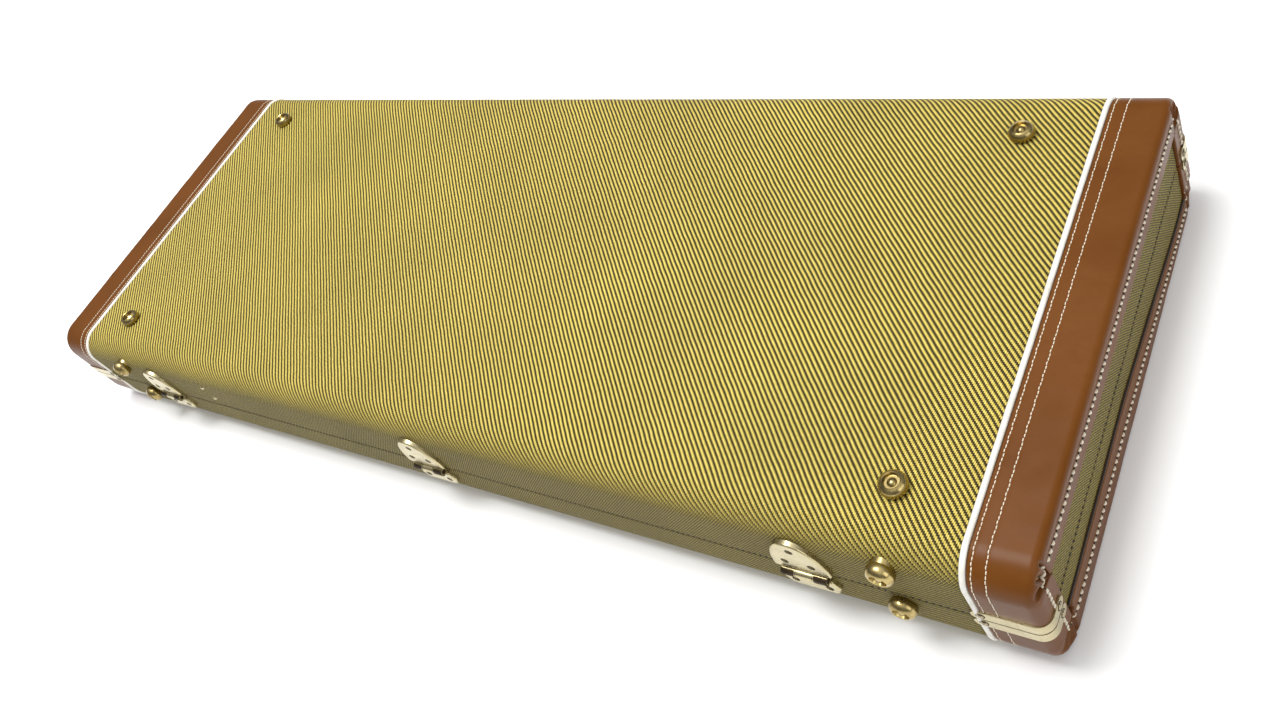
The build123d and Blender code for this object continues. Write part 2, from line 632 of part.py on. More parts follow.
def latch_hook(x):
    """Slotted strap that turns on the lever and reaches over the keeper's nose."""
    hook = rod(x - HOOK_W / 2, x + HOOK_W / 2, *hook_pivot, HOOK_EYE_R)
    hook += out_slab(x, HOOK_W / 2, HOOK_OUT, (hook_pivot[1] - SPLIT, HOOK_TOP))
    hook -= out_slab(x, HOOK_SLOT[0], (HOOK_OUT[0] - 1.0, HOOK_OUT[1] + 1.0), HOOK_SLOT[1:])
    return hook - rod(x - LEVER_W, x + LEVER_W, *hook_pivot, HOOK_PIN_R + RUNNING)


def latch_keeper(x):
    """Plate on the base with a rounded nose."""
    keeper = out_slab(x, KEEPER_HALF, (0.0, LATCH_PLATE_T), KEEPER_Z)
    keeper += out_slab(x, NOSE_HALF, (LATCH_PLATE_T, NOSE_OUT), NOSE_Z)
    nose_y, nose_z = half_w + NOSE_OUT - 0.4, SPLIT + NOSE_Z[1] - 0.4
    return keeper + rod(x - NOSE_HALF, x + NOSE_HALF, nose_y, nose_z, NOSE_R)


latch_rivets = {"base": [], "lid": []}
for index, lx in enumerate(LATCH_X):
    for half, (dx, dz) in (("lid", LID_RIVET_SPOT), ("base", KEEPER_RIVET_SPOT)):
        for sign in (-1, 1):
            head = face_plus_y(lx + sign * dx, SPLIT + dz, rivet(*LATCH_RIVET), half_w + LATCH_PLATE_T)
            latch_rivets[half].append(head)
    lever = latch_lever(lx)
    if index == LOCK_INDEX:
        lock_z = SPLIT + LOCK_Z
        ring_r, ring_h = LOCK_RING
        plug_r, plug_h = LOCK_PLUG
        key_w, key_l, key_deep = KEY_SLOT
        boss = Pos(0, 0, ring_h / 2) * Cylinder(ring_r, ring_h)
        lever += face_plus_y(lx, lock_z, boss, half_w + LEVER_OUT[1] - 0.5)
        lever -= face_plus_y(lx, lock_z, Cylinder(plug_r + RUNNING, 20.0), half_w + LEVER_OUT[1])
        key_cut = Pos(0, 0, plug_h - key_deep / 2) * Box(key_w, key_l, key_deep)
        plug = Pos(0, 0, plug_h / 2) * Cylinder(plug_r, plug_h) - key_cut
        save("lock_cylinder", face_plus_y(lx, lock_z, plug, half_w + LEVER_OUT[0]))
    save(f"latch_lever_{index + 1}", lever)
    save(f"latch_hook_{index + 1}", latch_hook(lx))
save("latch_plates", [latch_plate(lx) for lx in LATCH_X])
save("latch_keepers", [latch_keeper(lx) for lx in LATCH_X])

# ---------------------------------------------------------------- handle
HANDLE_Z = SPLIT + 24.0
POST_PLATE = (15.0, 12.0, 2.0)    # half width, half height and thickness
POST_CORNER_R = 5.0
POST_RIVET_SPOT = (11.5, 7.5)
POST_RIVET = (2.0, 1.0)
LOOP_W = 12.0
LOOP_R = 3.4
LOOP_T = 3.0
POST_EAR_T = 2.0
POST_EAR_R = 4.0
POST_PIN_R = 1.8
GRIP_R = 8.0
GRIP_OVER = 11.0        # how far the grip reaches past each pivot
handle_y = half_w + HANDLE_OUT
grip_z = HANDLE_Z - HANDLE_DROP


def handle_post(x):
    """Riveted plate with two ears and a pin for one end of the handle."""
    wide, high, thick = POST_PLATE
    post = slab(x - wide, x + wide, half_w, half_w + thick, HANDLE_Z - high, HANDLE_Z + high)
    post = fillet(post.edges().filter_by(Axis.Y), POST_CORNER_R)
    ear_in = LOOP_W / 2 + SIDE_PLAY
    ear_out = ear_in + POST_EAR_T
    for sign in (-1, 1):
        e0, e1 = sorted((sign * ear_in, sign * ear_out))
        post += slab(x + e0, x + e1, half_w, handle_y, HANDLE_Z - POST_EAR_R, HANDLE_Z + POST_EAR_R)
        post += rod(x + e0, x + e1, handle_y, HANDLE_Z, POST_EAR_R)
    return post + rod(x - ear_out, x + ear_out, handle_y, HANDLE_Z, POST_PIN_R)


def handle_loop(x):
    """Metal strap from the post's pin into the grip."""
    half = LOOP_W / 2
    loop = rod(x - half, x + half, handle_y, HANDLE_Z, LOOP_R)
    loop += slab(x - half, x + half, handle_y - LOOP_T / 2, handle_y + LOOP_T / 2,
                 grip_z + 6.0, HANDLE_Z - 2.0)
    return loop - rod(x - LOOP_W, x + LOOP_W, handle_y, HANDLE_Z, POST_PIN_R + RUNNING)


post_spots = [sign * HANDLE_SPAN / 2 for sign in (-1, 1)]
for px in post_spots:
    for sign in (-1, 1):
        spot_x = px + sign * POST_RIVET_SPOT[0]
        head = face_plus_y(spot_x, HANDLE_Z + POST_RIVET_SPOT[1], rivet(*POST_RIVET),
                           half_w + POST_PLATE[2])
        latch_rivets["base"].append(head)
loops = [handle_loop(px) for px in post_spots]
grip = rod(-HANDLE_SPAN / 2 - GRIP_OVER, HANDLE_SPAN / 2 + GRIP_OVER, handle_y, grip_z, GRIP_R)
grip = fillet(grip.edges(), GRIP_R - 1.0)
for loop in loops:
    grip -= loop
save("handle_posts", [handle_post(px) for px in post_spots])
save("handle_loops", loops)
save("handle_grip", grip)

save("base_rivets", rivets["base"] + latch_rivets["base"])
save("lid_rivets", rivets["lid"] + latch_rivets["lid"])
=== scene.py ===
import json
import math

import bpy
import numpy as np
from mathutils import Matrix, Vector


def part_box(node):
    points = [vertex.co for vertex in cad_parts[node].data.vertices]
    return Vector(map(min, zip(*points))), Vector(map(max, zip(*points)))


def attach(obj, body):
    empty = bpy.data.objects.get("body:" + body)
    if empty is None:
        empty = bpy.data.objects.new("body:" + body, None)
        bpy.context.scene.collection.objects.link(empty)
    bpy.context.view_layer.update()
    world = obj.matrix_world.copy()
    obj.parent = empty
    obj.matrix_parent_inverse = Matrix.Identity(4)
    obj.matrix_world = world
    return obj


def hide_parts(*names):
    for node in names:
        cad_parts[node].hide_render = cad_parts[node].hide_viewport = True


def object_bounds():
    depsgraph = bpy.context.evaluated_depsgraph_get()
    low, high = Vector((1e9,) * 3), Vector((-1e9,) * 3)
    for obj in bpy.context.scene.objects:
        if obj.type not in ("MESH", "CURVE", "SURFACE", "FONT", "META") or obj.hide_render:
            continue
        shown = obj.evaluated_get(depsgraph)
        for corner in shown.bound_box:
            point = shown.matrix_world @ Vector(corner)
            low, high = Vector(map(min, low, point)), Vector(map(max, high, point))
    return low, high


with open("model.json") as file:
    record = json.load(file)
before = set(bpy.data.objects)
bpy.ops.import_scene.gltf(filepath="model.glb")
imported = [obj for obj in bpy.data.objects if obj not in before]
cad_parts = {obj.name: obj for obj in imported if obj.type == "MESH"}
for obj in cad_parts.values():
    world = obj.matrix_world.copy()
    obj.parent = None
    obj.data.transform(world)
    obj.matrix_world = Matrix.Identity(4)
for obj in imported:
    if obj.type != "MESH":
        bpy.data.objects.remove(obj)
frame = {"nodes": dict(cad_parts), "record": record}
cad_low, cad_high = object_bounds()
nodes = frame["nodes"]
MM = 0.001

# ---------------------------------------------------------------- sizes read from the frame
leather_low, leather_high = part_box("base_leather_right")
piping_low, piping_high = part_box("base_piping")
lid_low, lid_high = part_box("lid_leather_right")
END_X = leather_high.x
HALF_W = leather_high.y
PIPING_HALF = 2 * MM
SEAM_X = {-1: piping_low.x + PIPING_HALF, 1: piping_high.x - PIPING_HALF}
HALVES = {
    "base": {"rim": leather_low.z, "up": 1, "depth": leather_high.z - leather_low.z,
             "edge_r": 23 * MM, "strip": 24 * MM, "far_strip": 24 * MM},
    "lid": {"rim": lid_high.z, "up": -1, "depth": lid_high.z - lid_low.z,
            "edge_r": 28 * MM, "strip": 34 * MM, "far_strip": 19 * MM},
}
SIDE_STRIP = 25 * MM
CORNER_R = 7.5 * MM
END_R = 5.5 * MM
PANEL_RECESS = 2 * MM
LEATHER_T = 1.2 * MM
CLOTH_T = 1.3 * MM
SEAM_GAP = 2.3 * MM       # from the middle of the piping to the leather's edge
ROW_1 = 3.0 * MM          # stitch rows, from the leather's edge
ROW_2 = 11.5 * MM
SIDES = {-1: "left", 1: "right"}


def spots(node, gap):
    """Middles of a node's separate solids, told apart by gaps along x."""
    points = np.array([v.co for v in nodes[node].data.vertices])
    points = points[np.argsort(points[:, 0])]
    breaks = np.where(np.diff(points[:, 0]) > gap)[0] + 1
    return [(group.min(axis=0) + group.max(axis=0)) / 2 for group in np.split(points, breaks)]


SPLIT_Z = (leather_low.z + lid_high.z) / 2
RIVET_APART = 1 * MM
HINGE_APART = 50 * MM
hinge_pins = spots("hinge_pins", HINGE_APART)
HINGES = [pin[0] for pin in hinge_pins]


# ---------------------------------------------------------------- node materials
class Shader:
    """A Principled material with short calls for its nodes."""

    def __init__(self, name, **fixed):
        self.material = bpy.data.materials.new(name)
        self.material.use_nodes = True
        self.tree = self.material.node_tree
        self.bsdf = self.tree.nodes["Principled BSDF"]
        for socket, value in fixed.items():
            self.put(self.bsdf.inputs[socket.replace("_", " ")], value)

    def put(self, socket, value):
        if isinstance(value, bpy.types.NodeSocket):
            self.tree.links.new(value, socket)
        elif isinstance(value, tuple) and len(value) == 3 and socket.type == "RGBA":
            socket.default_value = (*value, 1)
        else:
            socket.default_value = value

    def add(self, kind, *values, out=0, **settings):
        node = self.tree.nodes.new("ShaderNode" + kind)
        named = settings.pop("named", {})
        for key, value in settings.items():
            setattr(node, key, value)
        for index, value in enumerate(values):
            if value is not None:
                self.put(node.inputs[index], value)
        for key, value in named.items():
            self.put(node.inputs[key], value)
        return node.outputs[out]

    def math(self, operation, *values):
        return self.add("Math", *values, operation=operation)

    def coords(self):
        return self.add("TexCoord", out=3)

    def scaled(self, factor, source=None):
        return self.add("VectorMath", source or self.coords(), factor, operation="MULTIPLY")

    def noise(self, scale, detail=3.0, rough=0.55, source=None, distortion=0.0):
        return self.add("TexNoise", named={
            "Vector": source or self.coords(), "Scale": scale, "Detail": detail,
            "Roughness": rough, "Distortion": distortion})

    def ramp(self, factor, *stops):
        node = self.tree.nodes.new("ShaderNodeValToRGB")
        self.put(node.inputs[0], factor)
        elements = node.color_ramp.elements
        while len(elements) < len(stops):
            elements.new(0.5)
        for element, (place, colour) in zip(elements, stops):
            element.position = place
            element.color = (*colour, 1)
        return node.outputs[0]

    def span(self, factor, low, high, to_low, to_high):
        return self.add("MapRange", factor, low, high, to_low, to_high)

    def mix(self, factor, a, b, blend="MIX"):
        node = self.tree.nodes.new("ShaderNodeMix")
        node.data_type, node.blend_type = "RGBA", blend
        self.put(node.inputs[0], factor)
        self.put(node.inputs[6], a)
        self.put(node.inputs[7], b)
        return node.outputs[2]

    def bump(self, height, distance, strength=1.0, normal=None):
        named = {"Strength": strength, "Distance": distance, "Height": height}
        if normal is not None:
            named["Normal"] = normal
        return self.add("Bump", named=named)

    def finish(self, colour, roughness=None, normal=None, metallic=None):
        self.put(self.bsdf.inputs["Base Color"], colour)
        if roughness is not None:
            self.put(self.bsdf.inputs["Roughness"], roughness)
        if normal is not None:
            self.put(self.bsdf.inputs["Normal"], normal)
        if metallic is not None:
            self.put(self.bsdf.inputs["Metallic"], metallic)
        return self.material


def weave(s, place, period, warp, weft, dark):
    """Colour and height of a weave whose warp floats over half of a period of threads; the colour gets
    painted shade where the threads lie low.
    """
    parts = s.tree.nodes.new("ShaderNodeSeparateXYZ")
    s.put(parts.inputs[0], place)
    u, v = parts.outputs[0], parts.outputs[1]
    half = period / 2
    warp_along = s.math("FLOORED_MODULO", s.math("ADD", s.math("FLOOR", u), v), period)
    weft_along = s.math("FLOORED_MODULO", s.math("ADD", s.math("FLOOR", v), u), period)
    is_warp = s.math("LESS_THAN", warp_along, half * WARP_SHARE)
    warp_arch = s.math("SINE", s.math("MULTIPLY", warp_along, math.pi / half))
    weft_arch = s.math("SINE", s.math("MULTIPLY", s.math("SUBTRACT", weft_along, half), math.pi / half))
    warp_round = s.math("SINE", s.math("MULTIPLY", s.math("FRACT", u), math.pi))
    weft_round = s.math("SINE", s.math("MULTIPLY", s.math("FRACT", v), math.pi))
    warp_high = s.math("MULTIPLY", s.math("MULTIPLY_ADD", warp_arch, 0.45, 0.55),
                       s.math("MULTIPLY_ADD", warp_round, 0.45, 0.55))
    weft_high = s.math("MULTIPLY", s.math("MULTIPLY_ADD", weft_arch, 0.3, 0.2),
                       s.math("MULTIPLY_ADD", weft_round, 0.6, 0.4))
    high = s.math("ADD", s.math("MULTIPLY", warp_high, is_warp),
                  s.math("MULTIPLY", weft_high, s.math("SUBTRACT", 1.0, is_warp)))
    # painted shade: the lower a thread lies in the weave, the darker its colour is made
    shade = s.math("MULTIPLY_ADD", high, 1.0 - dark, dark)
    colour = s.mix(is_warp, weft, warp)
    return s.mix(1.0, colour, s.add("CombineXYZ", shade, shade, shade), blend="MULTIPLY"), high


RIB_WARP = ((0.83, 0.67, 0.165), (0.62, 0.48, 0.085))
RIB_WEFT = ((0.034, 0.020, 0.0006), (0.085, 0.056, 0.0025))
# wall colours: about half as bright as the face colours, painted shade for walls turned away from the
# light
SHADED_WALL_WARP = ((0.43, 0.34, 0.07), (0.27, 0.21, 0.040))
SHADED_WALL_WEFT = ((0.020, 0.013, 0.002), (0.055, 0.040, 0.008))
THREAD_U, THREAD_V = 1.126 * MM, 1.25 * MM
WARP_SHARE = 1.06         # how far a warp float bulges past its crossing


def tweed_material(name, blend_walls):
    """Tweed: a bold 2/2 twill on the flat faces that turns into a finer weave on the walls, whose darker
    colours are painted shade.
    """
    s = Shader(name, Specular_IOR_Level=0.25, Sheen_Weight=0.04, Sheen_Roughness=0.4)
    cloth = s.add("UVMap", uv_map="Weave")
    wobble = s.add("TexNoise", named={"Vector": cloth, "Scale": 55.0, "Detail": 2.0}, out=1)
    shift = s.add("VectorMath", wobble, (0.5, 0.5, 0.5), operation="SUBTRACT")
    shift = s.add("VectorMath", shift, (0.0011, 0.0011, 0.0), operation="MULTIPLY")
    place = s.add("VectorMath", cloth, shift, operation="ADD")
    place = s.add("VectorMath", place, (1 / THREAD_U, 1 / THREAD_V, 0.0), operation="MULTIPLY")
    fleck = s.span(s.noise(520.0, 2.0, source=cloth), 0.35, 0.65, 0.0, 1.0)
    colour, high = weave(s, place, 2.0, s.mix(fleck, *SHADED_WALL_WARP), s.mix(fleck, *SHADED_WALL_WEFT), 0.45)
    if blend_walls:
        rib_colour, rib_high = weave(s, place, 4.0, s.mix(fleck, *RIB_WARP), s.mix(fleck, *RIB_WEFT),
                                     0.3)
        parts = s.tree.nodes.new("ShaderNodeSeparateXYZ")
        s.put(parts.inputs[0], s.coords())
        reach = s.math("ABSOLUTE", s.math("SUBTRACT", parts.outputs[2], HALVES["base"]["rim"]))
        # between these heights from the split the walls' finer, darker weave (painted shade) gives way to
        # the faces' bold twill
        face = s.span(reach, 38 * MM, 56 * MM, 0.0, 1.0)
        colour = s.mix(face, colour, rib_colour)
        high = s.math("ADD", s.math("MULTIPLY", rib_high, face),
                      s.math("MULTIPLY", high, s.math("SUBTRACT", 1.0, face)))
    patch = s.span(s.noise(9.0, 3.0, source=cloth), 0.3, 0.7, 0.90, 1.08)
    colour = s.mix(1.0, colour, s.add("CombineXYZ", patch, patch, patch), blend="MULTIPLY")
    fibre = s.noise(2600.0, 2.0, source=cloth)
    height = s.math("MULTIPLY_ADD", fibre, 0.25, high)
    return s.finish(colour, 0.72, s.bump(height, 0.00055))


def leather_material(name, colour_a, colour_b, rough=0.3):
    """Smooth aniline leather: mottled colour, fine pores, a few soft creases, a waxed top coat."""
    s = Shader(name, Coat_Weight=0.02, Coat_Roughness=0.2, Specular_IOR_Level=0.13)
    mottled = s.noise(16.0, 5.0, 0.6, distortion=0.6)
    fine = s.noise(240.0, 3.0)
    colour = s.mix(s.span(mottled, 0.3, 0.7, 0.0, 1.0), colour_a, colour_b)
    colour = s.mix(s.span(fine, 0.35, 0.7, 0.0, 0.25), colour, colour_a)
    pores = s.add("TexVoronoi", named={"Vector": s.coords(), "Scale": 900.0})
    crease = s.noise(38.0, 4.0, 0.5, source=s.scaled((1.0, 0.35, 1.0)), distortion=1.2)
    height = s.math("MULTIPLY_ADD", crease, 3.0, s.math("MULTIPLY_ADD", pores, 0.35, fine))
    rough_out = s.span(mottled, 0.3, 0.7, rough - 0.05, rough + 0.08)
    return s.finish(colour, rough_out, s.bump(height, 0.00006, 0.8))


def metal_material(name, bright, dull, rough, tarnish, brushed):
    """Plated or solid metal with tarnish in patches and fine brush marks."""
    s = Shader(name, Metallic=1.0)
    stain = s.noise(70.0, 5.0, 0.65)
    colour = s.mix(s.span(stain, 0.42, 0.72, 0.0, tarnish), bright, dull)
    marks = s.noise(160.0, 3.0, 0.7, source=s.scaled(brushed))
    rough_out = s.math("ADD", s.span(marks, 0.3, 0.7, rough - 0.05, rough + 0.07),
                       s.span(stain, 0.45, 0.75, 0.0, 0.12))
    return s.finish(colour, rough_out, s.bump(marks, 0.00004, 0.5))


def plush_material(name, pile, deep):
    """Short pile plush with brushed patches."""
    s = Shader(name, Sheen_Weight=0.35, Sheen_Roughness=0.35, Specular_IOR_Level=0.15)
    brushed = s.noise(14.0, 4.0, 0.6, distortion=1.5)
    tuft = s.noise(900.0, 2.0)
    colour = s.mix(s.span(brushed, 0.35, 0.65, 0.0, 1.0), deep, pile)
    colour = s.mix(s.span(tuft, 0.3, 0.7, 0.0, 0.6), colour, deep)
    height = s.math("MULTIPLY_ADD", brushed, 2.0, tuft)
    return s.finish(colour, 0.95, s.bump(height, 0.0005, 0.7))


def plywood_material():
    """Birch ply: long grain on the faces, plies in stripes across the rim's width."""
    s = Shader("plywood", Specular_IOR_Level=0.3)
    parts = s.tree.nodes.new("ShaderNodeSeparateXYZ")
    s.put(parts.inputs[0], s.coords())
    across_y = s.math("SUBTRACT", s.math("ABSOLUTE", parts.outputs[1]), HALF_W - 6.5 * MM)
    across_x = s.math("SUBTRACT", s.math("ABSOLUTE", parts.outputs[0]), END_X - 8.5 * MM)
    across = s.math("MAXIMUM", across_y, across_x)
    stripe = s.math("SINE", s.math("MULTIPLY", across, 2 * math.pi / (2 * MM)))
    grain = s.noise(60.0, 6.0, 0.65, source=s.scaled((0.06, 1.0, 1.0)), distortion=0.8)
    light = s.mix(s.span(grain, 0.35, 0.7, 0.0, 1.0), (0.56, 0.38, 0.21), (0.42, 0.25, 0.12))
    colour = s.mix(s.span(stripe, -0.1, 0.25, 0.0, 0.7), light, (0.22, 0.11, 0.045))
    return s.finish(colour, 0.6, s.bump(grain, 0.0002, 0.6))


def thread_material(name, colour_a, colour_b):
    """Twisted linen thread."""
    s = Shader(name, Specular_IOR_Level=0.3, Sheen_Weight=0.2)
    twist = s.noise(1400.0, 2.0, source=s.scaled((1.0, 0.6, 0.6)))
    colour = s.mix(s.span(twist, 0.3, 0.7, 0.0, 1.0), colour_a, colour_b)
    return s.finish(colour, 0.6, s.bump(twist, 0.0002, 0.8))


def welt_material():
    """Off-white welt cord in grained leathercloth, a little soiled."""
    s = Shader("white_piping", Specular_IOR_Level=0.45, Coat_Weight=0.15, Coat_Roughness=0.3)
    soil = s.noise(45.0, 5.0, 0.7)
    grain = s.add("TexVoronoi", named={"Vector": s.coords(), "Scale": 1100.0})
    colour = s.mix(s.span(soil, 0.45, 0.8, 0.0, 1.0), (0.80, 0.78, 0.72), (0.52, 0.46, 0.36))
    return s.finish(colour, 0.42, s.bump(s.math("MULTIPLY_ADD", soil, 1.5, grain), 0.00012, 0.8))


TWEED = tweed_material("tweed", True)
# the end panels take only the walls' darker colours: painted shade
WALL_TWEED = tweed_material("tweed_panel", False)
LEATHER = leather_material("brown_leather", (0.110, 0.034, 0.003), (0.140, 0.046, 0.006), 0.36)
HANDLE_LEATHER = leather_material("handle_leather", (0.12, 0.042, 0.008), (0.16, 0.058, 0.014), 0.45)
THREAD = thread_material("cream_thread", (0.80, 0.74, 0.60), (0.62, 0.54, 0.40))
# dark thread look, used below for dark pieces that stand for shade in stitch gaps and at the split
# (painted shade) and for the lid's dark panel-gap line
DARK_THREAD = thread_material("dark_thread", (0.045, 0.03, 0.02), (0.02, 0.013, 0.01))
PIPING = welt_material()
PLYWOOD = plywood_material()
PLUSH = plush_material("plush", (0.20, 0.028, 0.018), (0.12, 0.017, 0.011))
PALE_BRASS = metal_material("pale_brass", (0.50, 0.435, 0.25), (0.33, 0.27, 0.13), 0.24, 0.35,
                            (0.08, 1.0, 1.0))
ANTIQUE_BRASS = metal_material("antique_brass", (0.46, 0.36, 0.15), (0.12, 0.08, 0.03), 0.2, 0.9,
                               (1.0, 1.0, 0.3))
STEEL = metal_material("plated_steel", (0.72, 0.68, 0.58), (0.42, 0.38, 0.30), 0.32, 0.5,
                       (1.0, 0.1, 1.0))

SLOT_MATERIALS = {
    "tweed": TWEED, "brown_leather": LEATHER, "handle_leather": HANDLE_LEATHER,
    "white_piping": PIPING, "plywood": PLYWOOD, "plush": PLUSH, "pale_brass": PALE_BRASS,
    "antique_brass": ANTIQUE_BRASS, "plated_steel": STEEL,
}
for part in frame["record"]["subparts"]:
    node = nodes[part["node"]]
    node.data.materials.clear()
    node.data.materials.append(SLOT_MATERIALS[part["material_slot"]])


# ---------------------------------------------------------------- mesh helpers
def piece(name, verts, faces, material, body, uv=None, smooth=True):
    """Make a mesh object that rides on a body. uv is one coordinate pair per vertex."""
    mesh = bpy.data.meshes.new(name)
    verts = np.array(verts, dtype=float)
    verts[:, 2] = np.maximum(verts[:, 2], cad_low.z)
    mesh.from_pydata(verts.tolist(), [], [tuple(f) for f in faces])
    if uv is not None:
        layer = mesh.uv_layers.new(name="Weave")
        corner = np.zeros(len(mesh.loops), np.int32)
        mesh.loops.foreach_get("vertex_index", corner)
        layer.data.foreach_set("uv", np.asarray(uv, np.float32)[corner].ravel())
    mesh.polygons.foreach_set("use_smooth", [smooth] * len(mesh.polygons))
    mesh.materials.append(material)
    mesh.update()
    obj = bpy.data.objects.new(name, mesh)
    bpy.context.scene.collection.objects.link(obj)
    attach(obj, body)
    return obj


def grid_faces(rows, columns, closed=False):
    """Quads of a grid, closed along its columns or not."""
    last = columns if closed else columns - 1
    faces = []
    for i in range(rows - 1):
        for j in range(last):
            k = (j + 1) % columns
            faces.append((i * columns + j, (i + 1) * columns + j, (i + 1) * columns + k, i * columns + k))
    return faces


def grid_piece(name, points, uv, outward, material, body, thickness):
    """Sheet through a grid of points, turned to face outward and given a thickness inward."""
    rows, columns = points.shape[:2]
    faces = grid_faces(rows, columns)
    i, j = rows // 2, columns // 2
    normal = np.cross(points[i + 1, j] - points[i, j], points[i, j + 1] - points[i, j])
    if np.dot(normal, outward) < 0:
        faces = [f[::-1] for f in faces]
    obj = piece(name, points.reshape(-1, 3), faces, material, body, uv.reshape(-1, 2))
    solid = obj.modifiers.new("thickness", "SOLIDIFY")
    solid.thickness, solid.offset = thickness, -1
    return obj


def profile(half, wall_steps=8, arc_steps=16, top_steps=60):
    """Cross-section of one half from rim to rim: y and z, outward normal, arc length, corner angle."""
    spec = HALVES[half]
    r, depth = spec["edge_r"], spec["depth"]
    turn = np.radians(np.linspace(0, 90, arc_steps + 1))
    wall = np.linspace(0, depth - r, wall_steps, endpoint=False)
    top = np.linspace(-HALF_W + r, 0, top_steps // 2 + 1)[1:]
    y = np.concatenate([np.full(wall_steps, -HALF_W), -HALF_W + r - r * np.cos(turn), top])
    w = np.concatenate([wall, depth - r + r * np.sin(turn), np.full(len(top), depth)])
    ny = np.concatenate([np.full(wall_steps, -1.0), -np.cos(turn), np.zeros(len(top))])
    nw = np.concatenate([np.zeros(wall_steps), np.sin(turn), np.ones(len(top))])
    bend = np.concatenate([np.zeros(wall_steps), turn, np.full(len(top), math.pi / 2)])
    y, ny = np.concatenate([y, -y[-2::-1]]), np.concatenate([ny, -ny[-2::-1]])
    w, nw, bend = (np.concatenate([a, a[-2::-1]]) for a in (w, nw, bend))
    arc = np.concatenate([[0], np.cumsum(np.hypot(np.diff(y), np.diff(w)))])
    return {"y": y, "z": spec["rim"] + spec["up"] * w, "ny": ny, "nz": spec["up"] * nw,
            "arc": arc - arc[-1] / 2, "bend": bend, "w": w}


def smoothstep(value, low, high):
    t = np.clip((value - low) / (high - low), 0, 1)
    return t * t * (3 - 2 * t)


def ripple(a, b, seed, scale):
    """Smooth pseudo-random waves over two coordinates, about -1 to 1."""
    total = 0
    for k in range(5):
        angle = seed * 1.7 + k * 2.4
        wave = (a * math.cos(angle) + b * math.sin(angle)) / scale * (0.7 + 0.33 * k)
        total = total + np.sin(wave * 2 * math.pi + seed * (k + 1) * 1.3)
    return total / 5


# ---------------------------------------------------------------- cloth skins
def tweed_skin(half):
    """Main cloth over one half, from piping to piping and from rim to rim."""
    p = profile(half)
    x = np.linspace(SEAM_X[-1], SEAM_X[1], 150)
    arc, along = p["arc"][:, None], x[None, :]
    lift = 0.12 * MM * ripple(along + 0 * arc, arc + 0 * along, 3 if half == "base" else 5, 0.09)
    points = np.stack([along + 0 * arc, p["y"][:, None] + p["ny"][:, None] * lift,
                       p["z"][:, None] + p["nz"][:, None] * lift], axis=2)
    uv = np.stack([along + 0 * arc, arc + 0 * along], axis=2)
    up = HALVES[half]["up"]
    obj = grid_piece(f"{half}_tweed_skin", points, uv, (0, 0, up), TWEED, half, CLOTH_T)
    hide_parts(f"{half}_tweed")
    return obj


def end_panel(half, side):
    """Recessed cloth panel framed by the leather on an end face."""
    spec = HALVES[half]
    y = np.linspace(-HALF_W + SIDE_STRIP - 2 * MM, HALF_W - SIDE_STRIP + 2 * MM, 60)
    w = np.linspace(0, spec["depth"] - spec["far_strip"] + 2 * MM, 12)
    yy, ww = np.meshgrid(y, w)
    lift = 0.3 * MM * ripple(yy, ww, 7 + side, 0.07)
    x = side * (END_X - PANEL_RECESS + lift - 0.3 * MM)
    z = spec["rim"] + spec["up"] * ww
    obj = grid_piece(f"{half}_end_panel_{SIDES[side]}", np.stack([x, yy, z], axis=2),
                     np.stack([yy, z], axis=2), (side, 0, 0), WALL_TWEED, half, CLOTH_T)
    return obj


# ---------------------------------------------------------------- leather ends
LIP_SAG = 6 * MM          # how far the base's lip sags over its end panel
PLEATS = 3
PLEAT_DEEP = 4.2 * MM


def end_shape(side, p, reach, inset, lift):
    """Point on a leather end: reach along x from its edge, or inset from the outline on the end face."""
    x = SEAM_X[side] + side * (SEAM_GAP + reach)
    y = p["y"][:, None] + p["ny"][:, None] * (lift - inset)
    z = p["z"][:, None] + p["nz"][:, None] * (lift - inset)
    return np.stack([x + 0 * y, y, z + 0 * y], axis=2)


